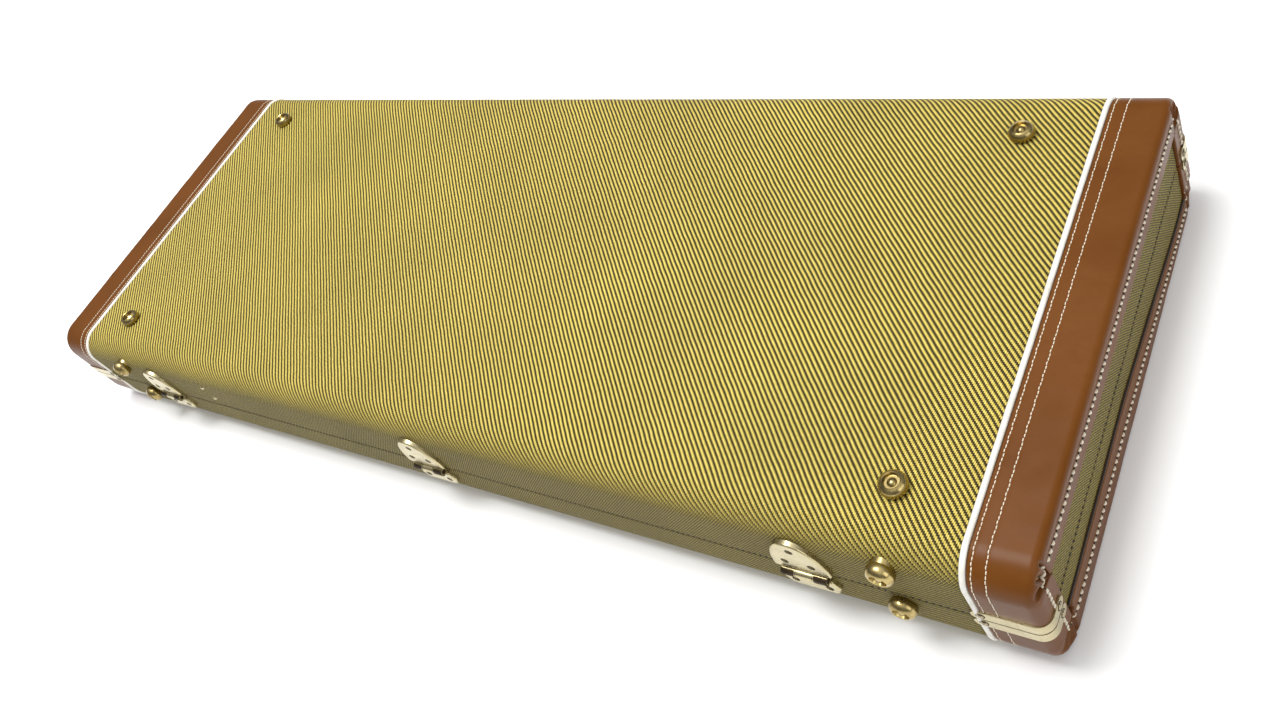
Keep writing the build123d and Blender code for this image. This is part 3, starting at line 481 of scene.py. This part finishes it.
def leather_end(half, side):
    """Leather cap of one end of a half: band, rounded edge, pleated corners and framed end face."""
    spec = HALVES[half]
    p = profile(half, 10, 28, 90)
    bend = p["bend"]
    flat_band = np.array([0, 0.4, 0.9, 1.5, 2.2, 3.0, 3.8, 4.8, 6.5, 8.5, 10.0, 10.8, 11.5,
                          12.2, 13.2, 15.0, 18.0, 21.0, 24.0]) * MM
    edge_r = CORNER_R + (END_R - CORNER_R) * smoothstep(bend, 0.2, 1.3)
    total = END_X - abs(SEAM_X[side]) - SEAM_GAP
    rest = np.linspace(0, 1, 7)[1:]
    start = flat_band[-1]
    reach_a = np.concatenate([np.tile(flat_band, (len(bend), 1)),
                              start + (total - edge_r - start)[:, None] * rest[None, :]], axis=1)
    roll = np.interp(flat_band, np.array([0, 0.4, 0.9, 1.5, 3.0, 4.8, 10.0, 11.5, 13.2, 24.0]) * MM,
                     np.array([-1.2, 0.1, 0.45, 0.5, 0.12, 0.42, 0.38, 0.1, 0.36, 0.3]) * MM)
    lift_a = np.concatenate([np.tile(roll, (len(bend), 1)),
                             np.full((len(bend), len(rest)), 0.3 * MM)], axis=1)
    phi = np.radians(np.linspace(0, 90, 13))[1:]
    reach_b = (total - edge_r)[:, None] + edge_r[:, None] * np.sin(phi)[None, :]
    inset_b = edge_r[:, None] * (1 - np.cos(phi))[None, :]
    strip = spec["strip"] + (spec["far_strip"] - spec["strip"]) * np.interp(
        p["y"], np.array([-20, 135]) * MM, (0, 1))
    deep = SIDE_STRIP + (strip - SIDE_STRIP) * smoothstep(bend, 0.9, 1.5)
    # round the corner the frame stays narrower than the corner's own radius
    limit = spec["edge_r"] - 0.6 * MM
    relax = 1 - smoothstep(np.sin(2 * bend), 0, 0.25)
    in_corner = bend * (math.pi / 2 - bend) > 1e-6
    deep = np.where(in_corner, np.minimum(deep, limit + (deep - limit) * relax), deep)
    share = np.linspace(0, 1, 17)[1:]
    strip_edge = deep
    bulge = np.clip(1 - (p["y"] / (HALF_W - SIDE_STRIP)) ** 2, 0, 1) * (bend > 1.5)
    deep = deep + LIP_SAG * bulge * (half == "base")
    inset_c = edge_r[:, None] + (deep - edge_r)[:, None] * share[None, :]
    rolled = (inset_c - strip_edge[:, None]) / LIP_SAG
    reach_c = total - 1.7 * MM * np.clip(rolled, 0, 1) ** 1.5
    fold = np.array([0.35, 1.2, 2.4, 3.2]) * MM
    inset_d = deep[:, None] + np.array([0.45, 0.75, 0.8, 0.8])[None, :] * MM
    reach_d = reach_c[:, -1:] - fold[None, :] + 0 * inset_d
    reach = np.concatenate([reach_a, reach_b, reach_c, reach_d], axis=1)
    inset = np.concatenate([0 * reach_a, inset_b, inset_c, inset_d], axis=1)
    lift_b = 0.3 * MM * (1 - np.sin(phi))[None, :] + 0 * reach_b
    lift = np.concatenate([lift_a, lift_b, 0 * reach_c, 0 * reach_d], axis=1)
    # pleats gather the spare leather of the corners
    to_edge = smoothstep(inset - deep[:, None], -3 * MM, 0.3 * MM)
    depth_in = smoothstep(inset, 0.8 * MM, 7 * MM) * (1 - 0.85 * to_edge)
    place = bend[:, None] / (math.pi / 2) * PLEATS + 0.35 + 0.25 * smoothstep(inset, 8 * MM, 22 * MM)
    saw = place - np.floor(place)
    facet = np.where(saw < 0.82, saw / 0.82, (1 - saw) / 0.18)
    near = smoothstep(bend, 0.02, 0.25)[:, None] * (1 - smoothstep(bend, 1.42, 1.56))[:, None]
    pleat = PLEAT_DEEP * near * depth_in * (1 - facet)
    along, arc = reach + inset, p["arc"][:, None]
    wave = 0.22 * MM * ripple(along + 0 * arc, arc + 0 * along, 11 + side, 0.045)
    wave = wave * smoothstep(along, 14 * MM, 20 * MM)
    points = end_shape(side, p, reach - pleat, inset, lift + wave * (inset < 2 * MM))
    points[:, :, 0] += side * np.where(inset > 2 * MM, np.minimum(wave, 0), 0)
    uv = np.stack([along + 0 * arc, arc + 0 * along], axis=2)
    obj = grid_piece(f"{half}_leather_cover_{SIDES[side]}", points, uv, (0, 0, spec["up"]),
                     LEATHER, half, LEATHER_T)
    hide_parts(f"{half}_leather_{SIDES[side]}")
    return p, points, {"total": total, "edge_r": edge_r, "strip_edge": strip_edge, "pleat": pleat,
                            "inset": inset, "reach": reach}


# ---------------------------------------------------------------- stitching
SIX = np.radians(np.arange(0, 360, 60))


def resample(path, step, start):
    """Evenly spaced points and tangents along a polyline."""
    legs = np.linalg.norm(np.diff(path, axis=0), axis=1)
    arc = np.concatenate([[0], np.cumsum(legs)])
    at = np.arange(start, arc[-1] - start, step)
    centres = np.stack([np.interp(at, arc, path[:, k]) for k in range(3)], axis=1)
    ahead = np.stack([np.interp(at + step / 3, arc, path[:, k]) for k in range(3)], axis=1)
    behind = np.stack([np.interp(at - step / 3, arc, path[:, k]) for k in range(3)], axis=1)
    tangent = ahead - behind
    return centres, tangent / np.linalg.norm(tangent, axis=1)[:, None]


def unit(a):
    return a / np.maximum(np.linalg.norm(a, axis=1), 1e-9)[:, None]


def stitches(centres, tangents, normals, length, radius, sway=0.0, lean=0.0):
    """Verts and faces of threads that lie along a line and dive in at both ends."""
    across = unit(np.cross(tangents, normals))
    normals = unit(np.cross(across, tangents))
    stations = np.array([-1, -0.82, -0.4, 0.0, 0.4, 0.82, 1]) * length / 2
    widths = np.array([0.35, 0.8, 1.0, 1.08, 1.0, 0.8, 0.35]) * radius
    drops = np.array([-1.5, -0.45, 0.1, 0.3, 0.1, -0.45, -1.5]) * radius
    direction = tangents * math.cos(lean) + across * math.sin(lean)
    verts, faces = [], []
    rows, cols = len(stations), len(SIX)
    caps = [tuple(range(cols)), tuple(range((rows - 1) * cols, rows * cols))[::-1]]
    pattern = [f[::-1] for f in grid_faces(rows, cols, closed=True) + caps]
    for i in range(len(centres)):
        side = sway * math.sin(i * 2.1) * across[i]
        for at, width, drop in zip(stations, widths, drops):
            c = centres[i] + side + direction[i] * at + normals[i] * drop
            for a in SIX:
                verts.append(c + across[i] * math.cos(a) * width + normals[i] * math.sin(a) * width)
        base = i * rows * cols
        faces += [tuple(base + k for k in f) for f in pattern]
    return verts, faces


def sew(name, runs, body, material=THREAD):
    """One object with all the stitches of several runs."""
    verts, faces = [], []
    for run_verts, run_faces in runs:
        faces += [tuple(len(verts) + k for k in f) for f in run_faces]
        verts += run_verts
    return piece(name, verts, faces, material, body)


def row_on_band(side, p, at):
    """Stitch row across the band at a distance from the leather's edge."""
    keep = p["w"] > 1.5 * MM
    points = end_shape(side, p, np.array([[at]]), 0.0, 0.25 * MM)[:, 0]
    normals = np.stack([np.zeros(len(p["y"])), p["ny"], p["nz"]], axis=1)
    centres, tangents = resample(points[keep], 3.0 * MM, 1.5 * MM)
    seat = [int(np.argmin(np.linalg.norm(points - c, axis=1))) for c in centres]
    return stitches(centres, tangents, normals[seat], 2.75 * MM, 0.37 * MM, 0.2 * MM)


FACE_COLUMNS = slice(24, 53)   # grid columns of a leather end from its band to the frame's edge
ROW_BLUR = 5                   # points averaged where the row crosses pleats


# offset along the row, length, radius and lean in degrees: the light thread, then the dark pieces between
# its stitches, painted shade of the gaps
STITCHES_AND_GAP_SHADE = ((3 * MM, 4.6 * MM, 0.95 * MM, 18), (5.5 * MM, 2.6 * MM, 0.6 * MM, -30))


def row_on_end(half, side, p, points, info):
    """Heavy saddle stitch round the end face's frame: light stitches, with dark ones between them as
    painted shade of the gaps.
    """
    bend = p["bend"]
    target = 14.0 * MM + (11.5 * MM - 14.0 * MM) * smoothstep(bend, 1.1, 1.55)
    if half == "lid":
        target = 5 * MM + 0.46 * info["strip_edge"]
    target = np.minimum(target, info["strip_edge"] - 3.5 * MM)
    inset = info["inset"]
    path = []
    for i in range(len(bend)):
        row = points[i]
        path.append([np.interp(target[i], inset[i, FACE_COLUMNS], row[FACE_COLUMNS, k])
                     for k in range(3)])
    path = np.array(path)[p["w"] > 3 * MM]
    blur = np.ones(ROW_BLUR) / ROW_BLUR
    inner = slice(ROW_BLUR // 2, -(ROW_BLUR // 2))
    for k in range(3):
        path[inner, k] = np.convolve(path[:, k], blur, "valid")
    rows = []
    for offset, length, radius, lean in STITCHES_AND_GAP_SHADE:
        centres, tangents = resample(path, 5 * MM, offset)
        normals = np.tile((float(side), 0.0, 0.0), (len(centres), 1))
        centres[:, 0] += side * 0.1 * MM
        rows.append(stitches(centres, tangents, normals, length, radius, 0.15 * MM, math.radians(lean)))
    return rows


GAP_COLUMN = 54           # second row of the leather's folded edge
GAP_R = 0.8 * MM


def panel_gap(side, p, points):
    """Dark line between the lid's end panel and the folded edge of its leather strip."""
    edge = points[(p["bend"] > 1.4) & (np.abs(p["y"]) < HALF_W - SIDE_STRIP), GAP_COLUMN]
    ring = np.radians(np.arange(0, 360, 45))
    verts = [(c[0] + GAP_R * math.cos(a), c[1], c[2] + GAP_R * math.sin(a)) for c in edge for a in ring]
    faces = grid_faces(len(edge), len(ring), closed=True)
    faces += [tuple(range(len(ring))), tuple(range(len(verts) - len(ring), len(verts)))[::-1]]
    return piece(f"lid_panel_gap_{SIDES[side]}", verts, faces, DARK_THREAD, "lid")


for half in HALVES:
    tweed_skin(half)
    runs, gap_shade_runs = [], []
    for side in SIDES:
        end_panel(half, side)
        p, points, info = leather_end(half, side)
        runs.append(row_on_band(side, p, ROW_1))
        runs.append(row_on_band(side, p, ROW_2))
        light, dark = row_on_end(half, side, p, points, info)
        if half == "lid":
            panel_gap(side, p, points)
        runs.append(light)
        gap_shade_runs.append(dark)
    sew(f"{half}_stitching", runs, half)
    # dark pieces between the light stitches: painted shade of the stitch gaps
    sew(f"{half}_stitch_gap_shade", gap_shade_runs, half, DARK_THREAD)


# ---------------------------------------------------------------- piping
def welt(half, side):
    """Welt cord round the seam between cloth and leather."""
    p = profile(half, 10, 24, 90)
    ring = np.radians(np.arange(0, 360, 30))
    radius = 2.1 * MM
    n = np.stack([np.zeros(len(p["y"])), p["ny"], p["nz"]], axis=1)
    centre = np.stack([np.full(len(p["y"]), SEAM_X[side]), p["y"], p["z"]], axis=1) - n * 0.6 * MM
    wobble = 0.1 * MM * ripple(p["arc"], 0 * p["arc"], 4 + side, 0.05)
    verts = [c + n[i] * radius * math.sin(a) + Vector((radius * math.cos(a) + wobble[i], 0, 0))
             for i, c in enumerate(centre) for a in ring]
    rows, cols = len(centre), len(ring)
    faces = grid_faces(rows, cols, closed=True)
    faces += [tuple(range(cols)), tuple(range((rows - 1) * cols, rows * cols))[::-1]]
    return piece(f"{half}_welt_{SIDES[side]}", verts, faces, PIPING, half)


for half in HALVES:
    cords = [welt(half, side) for side in SIDES]
    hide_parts(f"{half}_piping")

# ---------------------------------------------------------------- plush lining
LINING_IN = 6.5 * MM      # side wall of the case to the lining's back
LINING_END = 8.5 * MM
LINING_T = 1 * MM


def liner(half, low):
    """Plush skin of one half's hollow: walls, floor and rounded ends, slightly uneven."""
    spec = HALVES[half]
    half_y, half_x = HALF_W - LINING_IN - LINING_T, END_X - LINING_END - LINING_T
    floor = spec["depth"] - LINING_IN - LINING_T
    r = spec["edge_r"] - LINING_IN - LINING_T
    turn = np.radians(np.linspace(0, 90, 11))
    wall = np.linspace(low, floor - r, 8, endpoint=False)
    flat = np.linspace(-half_y + r, 0, 36)[1:]
    y = np.concatenate([np.full(8, -half_y), -half_y + r - r * np.cos(turn), flat])
    w = np.concatenate([wall, floor - r + r * np.sin(turn), np.full(35, floor)])
    y, w = np.concatenate([y, -y[-2::-1]]), np.concatenate([w, w[-2::-1]])
    arc = np.concatenate([[0], np.cumsum(np.hypot(np.diff(y), np.diff(w)))])
    x = np.linspace(-half_x, half_x, 170)
    # the last columns fold down the end walls towards the rim
    drop = np.linspace(0, 1, 9)[1:]
    points = np.zeros((len(y), len(x) + 16, 3))
    points[:, 8:-8, 0] = x
    points[:, 8:-8, 1] = y[:, None]
    points[:, 8:-8, 2] = w[:, None]
    for k, share in enumerate(drop):
        for column, edge in ((7 - k, -half_x), (len(x) + 8 + k, half_x)):
            points[:, column, 0] = edge
            points[:, column, 1] = y
            points[:, column, 2] = w + (low - w) * share
    puff = 0.25 * MM * ripple(points[:, :, 0] + 0.4 * points[:, :, 2], points[:, :, 1], 2, 0.06)
    points[:, 8:-8, 2] -= np.abs(puff[:, 8:-8]) * (w > floor - 1 * MM)[:, None]
    points[:, :, 2] = spec["rim"] + spec["up"] * points[:, :, 2]
    uv = np.stack([points[:, :, 0], arc[:, None] + 0 * points[:, :, 0]], axis=2)
    obj = grid_piece(f"{half}_plush_lining", points, uv, (0, 0, -spec["up"]), PLUSH, half,
                     LINING_T * 0.95)
    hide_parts(f"{half}_lining")


liner("base", 0.0)
liner("lid", 9.5 * MM)


# ---------------------------------------------------------------- padded pieces
def cad_copy(node, name, material):
    """Loose copy of a CAD node's mesh that can be reshaped."""
    source = nodes[node]
    mesh = source.data.copy()
    mesh.name = name
    mesh.materials.clear()
    mesh.materials.append(material)
    obj = bpy.data.objects.new(name, mesh)
    bpy.context.scene.collection.objects.link(obj)
    obj.matrix_world = source.matrix_world.copy()
    return obj


def apply_modifiers(obj):
    """Bake the modifier stack into the mesh."""
    deps = bpy.context.evaluated_depsgraph_get()
    baked = bpy.data.meshes.new_from_object(obj.evaluated_get(deps))
    obj.modifiers.clear()
    obj.data = baked


def plump(node, name, material, body, voxel, pressure, cap, keep=None):
    """Cushion version of a soft CAD node: remeshed, inflated a little by a cloth run, smoothed."""
    obj = cad_copy(node, name, material)
    remesh = obj.modifiers.new("remesh", "REMESH")
    remesh.mode, remesh.voxel_size = "VOXEL", voxel
    apply_modifiers(obj)
    before = np.array([v.co for v in obj.data.vertices])
    normals = np.array([v.normal for v in obj.data.vertices])
    if pressure:
        hold = obj.vertex_groups.new(name="hold")
        fixed = [i for i, c in enumerate(before) if keep and keep(c)]
        hold.add(fixed, 1.0, "REPLACE")
        cloth = obj.modifiers.new("cloth", "CLOTH")
        settings = cloth.settings
        settings.use_pressure, settings.uniform_pressure_force = True, pressure
        settings.tension_stiffness = settings.compression_stiffness = 25
        settings.effector_weights.gravity = 0
        settings.quality = 4
        if fixed:
            settings.vertex_group_mass = "hold"
        cloth.collision_settings.use_collision = False
        scene = bpy.context.scene
        for step in range(1, 15):
            scene.frame_set(step)
        apply_modifiers(obj)
        scene.frame_set(1)
        after = np.array([v.co for v in obj.data.vertices])
    else:
        after = before
    move = after - before
    size = np.linalg.norm(move, axis=1)
    move *= (np.minimum(size, cap) / np.maximum(size, 1e-9))[:, None]
    ruck = 0.35 * MM * ripple(before[:, 0] + before[:, 2], before[:, 1] - before[:, 2], 6, 0.05)
    after = before + move + normals * ruck[:, None]
    obj.data.vertices.foreach_set("co", after.astype(np.float32).ravel())
    obj.data.update()
    obj.data.polygons.foreach_set("use_smooth", [True] * len(obj.data.polygons))
    smooth = obj.modifiers.new("soften", "SMOOTH")
    smooth.factor, smooth.iterations = 0.5, 2
    subdivide = obj.modifiers.new("round", "SUBSURF")
    subdivide.levels = subdivide.render_levels = 1
    apply_modifiers(obj)
    obj.data.polygons.foreach_set("use_smooth", [True] * len(obj.data.polygons))
    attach(obj, body)
    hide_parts(node)
    return obj


BASE_FLOOR = leather_high.z - 8 * MM
LID_FLOOR = lid_low.z + 8 * MM
plump("body_bay_padding", "body_bay_plush", PLUSH, "base", 5 * MM, 2.0, 1.0 * MM,
      lambda c: c[2] > BASE_FLOOR or abs(c[1]) > 0.176 or c[0] > 0.518)
plump("neck_bay_padding", "neck_bay_plush", PLUSH, "base", 5 * MM, 2.0, 1.0 * MM,
      lambda c: c[2] > BASE_FLOOR or abs(c[1]) > 0.176 or c[0] < -0.518)
plump("neck_rest", "neck_rest_plush", PLUSH, "base", 3 * MM, 3.0, 1.5 * MM,
      lambda c: c[2] > BASE_FLOOR)
plump("lid_pad", "lid_pad_plush", PLUSH, "lid", 3.5 * MM, 3.0, 1.2 * MM,
      lambda c: c[2] < LID_FLOOR)
plump("accessory_lid", "accessory_lid_plush", PLUSH, "accessory_lid", 1.2 * MM, 0.0,
      0.2 * MM)
plump("accessory_tray", "accessory_tray_plush", PLUSH, "base", 1.5 * MM, 0.0, 0.2 * MM)
plump("base_valance", "base_valance_plush", PLUSH, "base", 1.2 * MM, 0.0, 0.2 * MM)
plump("handle_grip", "handle_grip_leather", HANDLE_LEATHER, "handle",
      1.2 * MM, 0.0, 0.2 * MM)
plump("accessory_lid_tab", "accessory_lid_loop", LEATHER, "accessory_lid",
      0.6 * MM, 0.0, 0.1 * MM)

# ---------------------------------------------------------------- hardware details
DARK_NICKEL = metal_material("dark_nickel", (0.36, 0.30, 0.20), (0.12, 0.09, 0.05), 0.18, 0.8,
                             (1.0, 1.0, 1.0))
# near-black stand-in for the shade in recesses, slots and round screws: painted shade
RECESS_SHADE = metal_material("recess_shadow", (0.07, 0.05, 0.03), (0.03, 0.02, 0.01), 0.5, 0.8,
                        (1.0, 1.0, 1.0))


def rings(name, centres, inner, outer, rise, material, body, along_x=False):
    """Rounded rings round rivets and screws, in the wall's plane or an end face's; here all of them dark,
    as painted shade.
    """
    around = np.radians(np.arange(0, 360, 15))
    section = np.radians(np.arange(0, 360, 45))
    middle, thick = (inner + outer) / 2, (outer - inner) / 2
    verts, faces = [], []
    for x, y, z in centres:
        start = len(verts)
        for a in around:
            for b in section:
                radius = middle + thick * math.cos(b)
                side, out = radius * math.cos(a), rise * math.sin(b)
                spot = (x + out, y + side) if along_x else (x + side, y + out)
                verts.append((*spot, z + radius * math.sin(a)))
        rows, cols = len(around), len(section)
        for i in range(rows):
            for j in range(cols):
                k, m = (i + 1) % rows, (j + 1) % cols
                quad = (i * cols + j, i * cols + m, k * cols + m, k * cols + j)
                faces.append(tuple(start + t for t in quad))
    return piece(name, verts, faces, material, body)


LEAF_Y = hinge_pins[0][1]
for half in HALVES:
    marks = [(x, LEAF_Y, z) for x, _, z in spots(f"hinge_{half}_rivets", RIVET_APART)]
    # dark rings round the hinge screws: painted shade of their recesses
    rings(f"{half}_hinge_screw_shade_rings", marks, 2.0 * MM, 2.9 * MM, 0.12 * MM, RECESS_SHADE, half)
KNUCKLE_R = 3.5 * MM
# dark patches hugging the knuckle in the slots beside each hinge's tongue: painted shade of the slots
around = np.radians(np.linspace(-60, 80, 15))
verts, faces = [], []
for x in HINGES:
    for sign in (-1, 1):
        start = len(verts)
        for reach in np.linspace(7.2, 16.8, 6) * MM:
            for k, a in enumerate(around):
                radius = KNUCKLE_R + 0.12 * MM * math.sin(math.pi * k / (len(around) - 1))
                verts.append((x + sign * reach, LEAF_Y - radius * math.cos(a),
                              SPLIT_Z + radius * math.sin(a)))
        patch = grid_faces(6, len(around))
        faces += [tuple(start + t for t in (f if sign > 0 else f[::-1])) for f in patch]
slot_shade = piece("hinge_slot_painted_shade", verts, faces, RECESS_SHADE, "lid")
thick = slot_shade.modifiers.new("thickness", "SOLIDIFY")
thick.thickness, thick.offset = 0.1 * MM, 0
# the hinge pins take the near-black recess material, painted shade in the slots; the rivets take metal
# colours
for part, surface in (("hinge_pins", RECESS_SHADE), ("hinge_base_rivets", STEEL), ("hinge_lid_rivets", STEEL),
                      ("base_rivets", DARK_NICKEL), ("lid_rivets", DARK_NICKEL)):
    nodes[part].data.materials.clear()
    nodes[part].data.materials.append(surface)

STRAP_FACE = 1.2 * MM
STRAP_TIP = 0.9           # strap rivets lie beyond this share of the half length
for half in HALVES:
    tips = [s for s in spots(f"{half}_rivets", RIVET_APART) if STRAP_TIP < abs(s[0]) / END_X < 1]
    for tip_x, _, z in tips:
        end = 1 if tip_x > 0 else -1
        for wall in (-1, 1):
            # dark rings round the strap rivets: painted shade
            spot = (tip_x, wall * (HALF_W + STRAP_FACE), z)
            name = f"{half}_strap_rim_{SIDES[end]}_{'hinge' if wall < 0 else 'latch'}"
            rings(name, [spot], 2.2 * MM, 3.1 * MM, 0.3 * MM, RECESS_SHADE, half)
            spot = (end * (END_X + STRAP_FACE), wall * (HALF_W - 17 * MM), z)
            rings(name + "_end", [spot], 2.2 * MM, 3.1 * MM, 0.3 * MM, RECESS_SHADE, half, along_x=True)

HINGE_CLEAR = 23 * MM     # no dark split-line dashes (painted shade) this near a hinge's middle
# dark stitch-like dashes along the split between base and lid, on the walls and the end faces: painted
# shade of the gap at the split
split_shade_runs = []
for wall in (-1, 1):
    line = np.linspace(SEAM_X[-1] + 4 * MM, SEAM_X[1] - 4 * MM, 300)
    path = np.stack([line, np.full(300, wall * HALF_W), np.full(300, SPLIT_Z + 0.9 * MM)], axis=1)
    centres, tangents = resample(path, 4.5 * MM, 1 * MM)
    clear = [wall > 0 or min(abs(c[0] - x) for x in HINGES) > HINGE_CLEAR for c in centres]
    centres, tangents = centres[clear], tangents[clear]
    out = np.tile((0.0, float(wall), 0.0), (len(centres), 1))
    split_shade_runs.append(stitches(centres, tangents, out, 2.4 * MM, 0.5 * MM, 0.1 * MM, math.radians(20)))
for end in SIDES:
    line = np.linspace(-HALF_W + SIDE_STRIP + 2 * MM, HALF_W - SIDE_STRIP - 2 * MM, 100)
    face_x = end * (END_X - PANEL_RECESS)
    path = np.stack([np.full(100, face_x), line, np.full(100, SPLIT_Z + 0.9 * MM)], axis=1)
    centres, tangents = resample(path, 4.5 * MM, 1 * MM)
    out = np.tile((float(end), 0.0, 0.0), (len(centres), 1))
    split_shade_runs.append(stitches(centres, tangents, out, 2.4 * MM, 0.5 * MM, 0.1 * MM, math.radians(20)))
sew("base_split_line_shade", split_shade_runs, "base", DARK_THREAD)

handle_low, handle_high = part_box("handle_grip")
grip_y, grip_z = (handle_low.y + handle_high.y) / 2, (handle_low.z + handle_high.z) / 2
GRIP_R = (handle_high.y - handle_low.y) / 2
runs = []
for angle in (-38, 38, 142, 218):
    turn = math.radians(angle)
    out = np.array([0, math.cos(turn), math.sin(turn)])
    line = np.linspace(handle_low.x + 9 * MM, handle_high.x - 9 * MM, 40)
    path = np.stack([line, np.full(40, grip_y + GRIP_R * out[1]), np.full(40, grip_z + GRIP_R * out[2])],
                    axis=1)
    centres, tangents = resample(path, 3.4 * MM, 1 * MM)
    runs.append(stitches(centres, tangents, np.tile(out, (len(centres), 1)), 2.7 * MM, 0.4 * MM))
sew("handle_stitching", runs, "handle")

# ---------------------------------------------------------------- floor, light and camera
floor_mat = Shader("floor_paper", Specular_IOR_Level=0.2)
floor_tone = floor_mat.noise(3.0, 2.0)
floor_mat.finish(floor_mat.mix(floor_tone, (0.93, 0.93, 0.93), (0.96, 0.96, 0.96)), 0.75)
bpy.ops.mesh.primitive_plane_add(size=14, location=(0, 0, cad_low.z))
floor = bpy.context.object
floor.name = "floor"
floor.data.materials.append(floor_mat.material)


def area_light(name, place, target, size, power, colour=(1, 1, 1)):
    data = bpy.data.lights.new(name, "AREA")
    data.shape, data.size, data.energy, data.color = "SQUARE", size, power, colour
    lamp = bpy.data.objects.new(name, data)
    bpy.context.scene.collection.objects.link(lamp)
    lamp.location = place
    aim = Vector(target) - Vector(place)
    lamp.rotation_euler = aim.to_track_quat("-Z", "Y").to_euler()
    return lamp


area_light("key", (-0.3, -0.05, 2.7), (0, 0, 0), 1.3, 72)
area_light("fill", (2.6, -0.6, 1.2), (0, 0, 0.05), 1.6, 14)
world = bpy.data.worlds.new("studio")
world.use_nodes = True
sky = world.node_tree
heading = sky.nodes.new("ShaderNodeTexCoord")
axes = sky.nodes.new("ShaderNodeSeparateXYZ")
dome = sky.nodes.new("ShaderNodeValToRGB")
sky.links.new(heading.outputs["Generated"], axes.inputs[0])
sky.links.new(axes.outputs[2], dome.inputs[0])
sky.links.new(dome.outputs[0], sky.nodes["Background"].inputs[0])
dome.color_ramp.elements[0].position = 0.05
dome.color_ramp.elements[0].color = (0.16, 0.16, 0.16, 1)
dome.color_ramp.elements[1].position = 0.95
dome.color_ramp.elements[1].color = (1, 1, 1, 1)
middle = dome.color_ramp.elements.new(0.6)
middle.color = (0.28, 0.28, 0.28, 1)
sky.nodes["Background"].inputs[1].default_value = 1.35
bpy.context.scene.world = world
bpy.context.scene.view_settings.view_transform = "Standard"

camera_data = bpy.data.cameras.new("camera")
camera_data.lens = 32.02
camera_data.sensor_width = 36.0
camera_data.shift_y = -0.0937
camera_data.clip_start, camera_data.clip_end = 0.01, 100
camera = bpy.data.objects.new("camera", camera_data)
bpy.context.scene.collection.objects.link(camera)
right = Vector((0.79437, 0.42225, -0.43667)).normalized()
forward = Vector((-0.60275, 0.45892, -0.65275)).normalized()
above = right.cross(forward)
camera.matrix_world = Matrix.Translation((0.7212, -0.4099, 0.7130)) @ Matrix(
    (right, above, -forward)).transposed().to_4x4()
bpy.context.scene.camera = camera
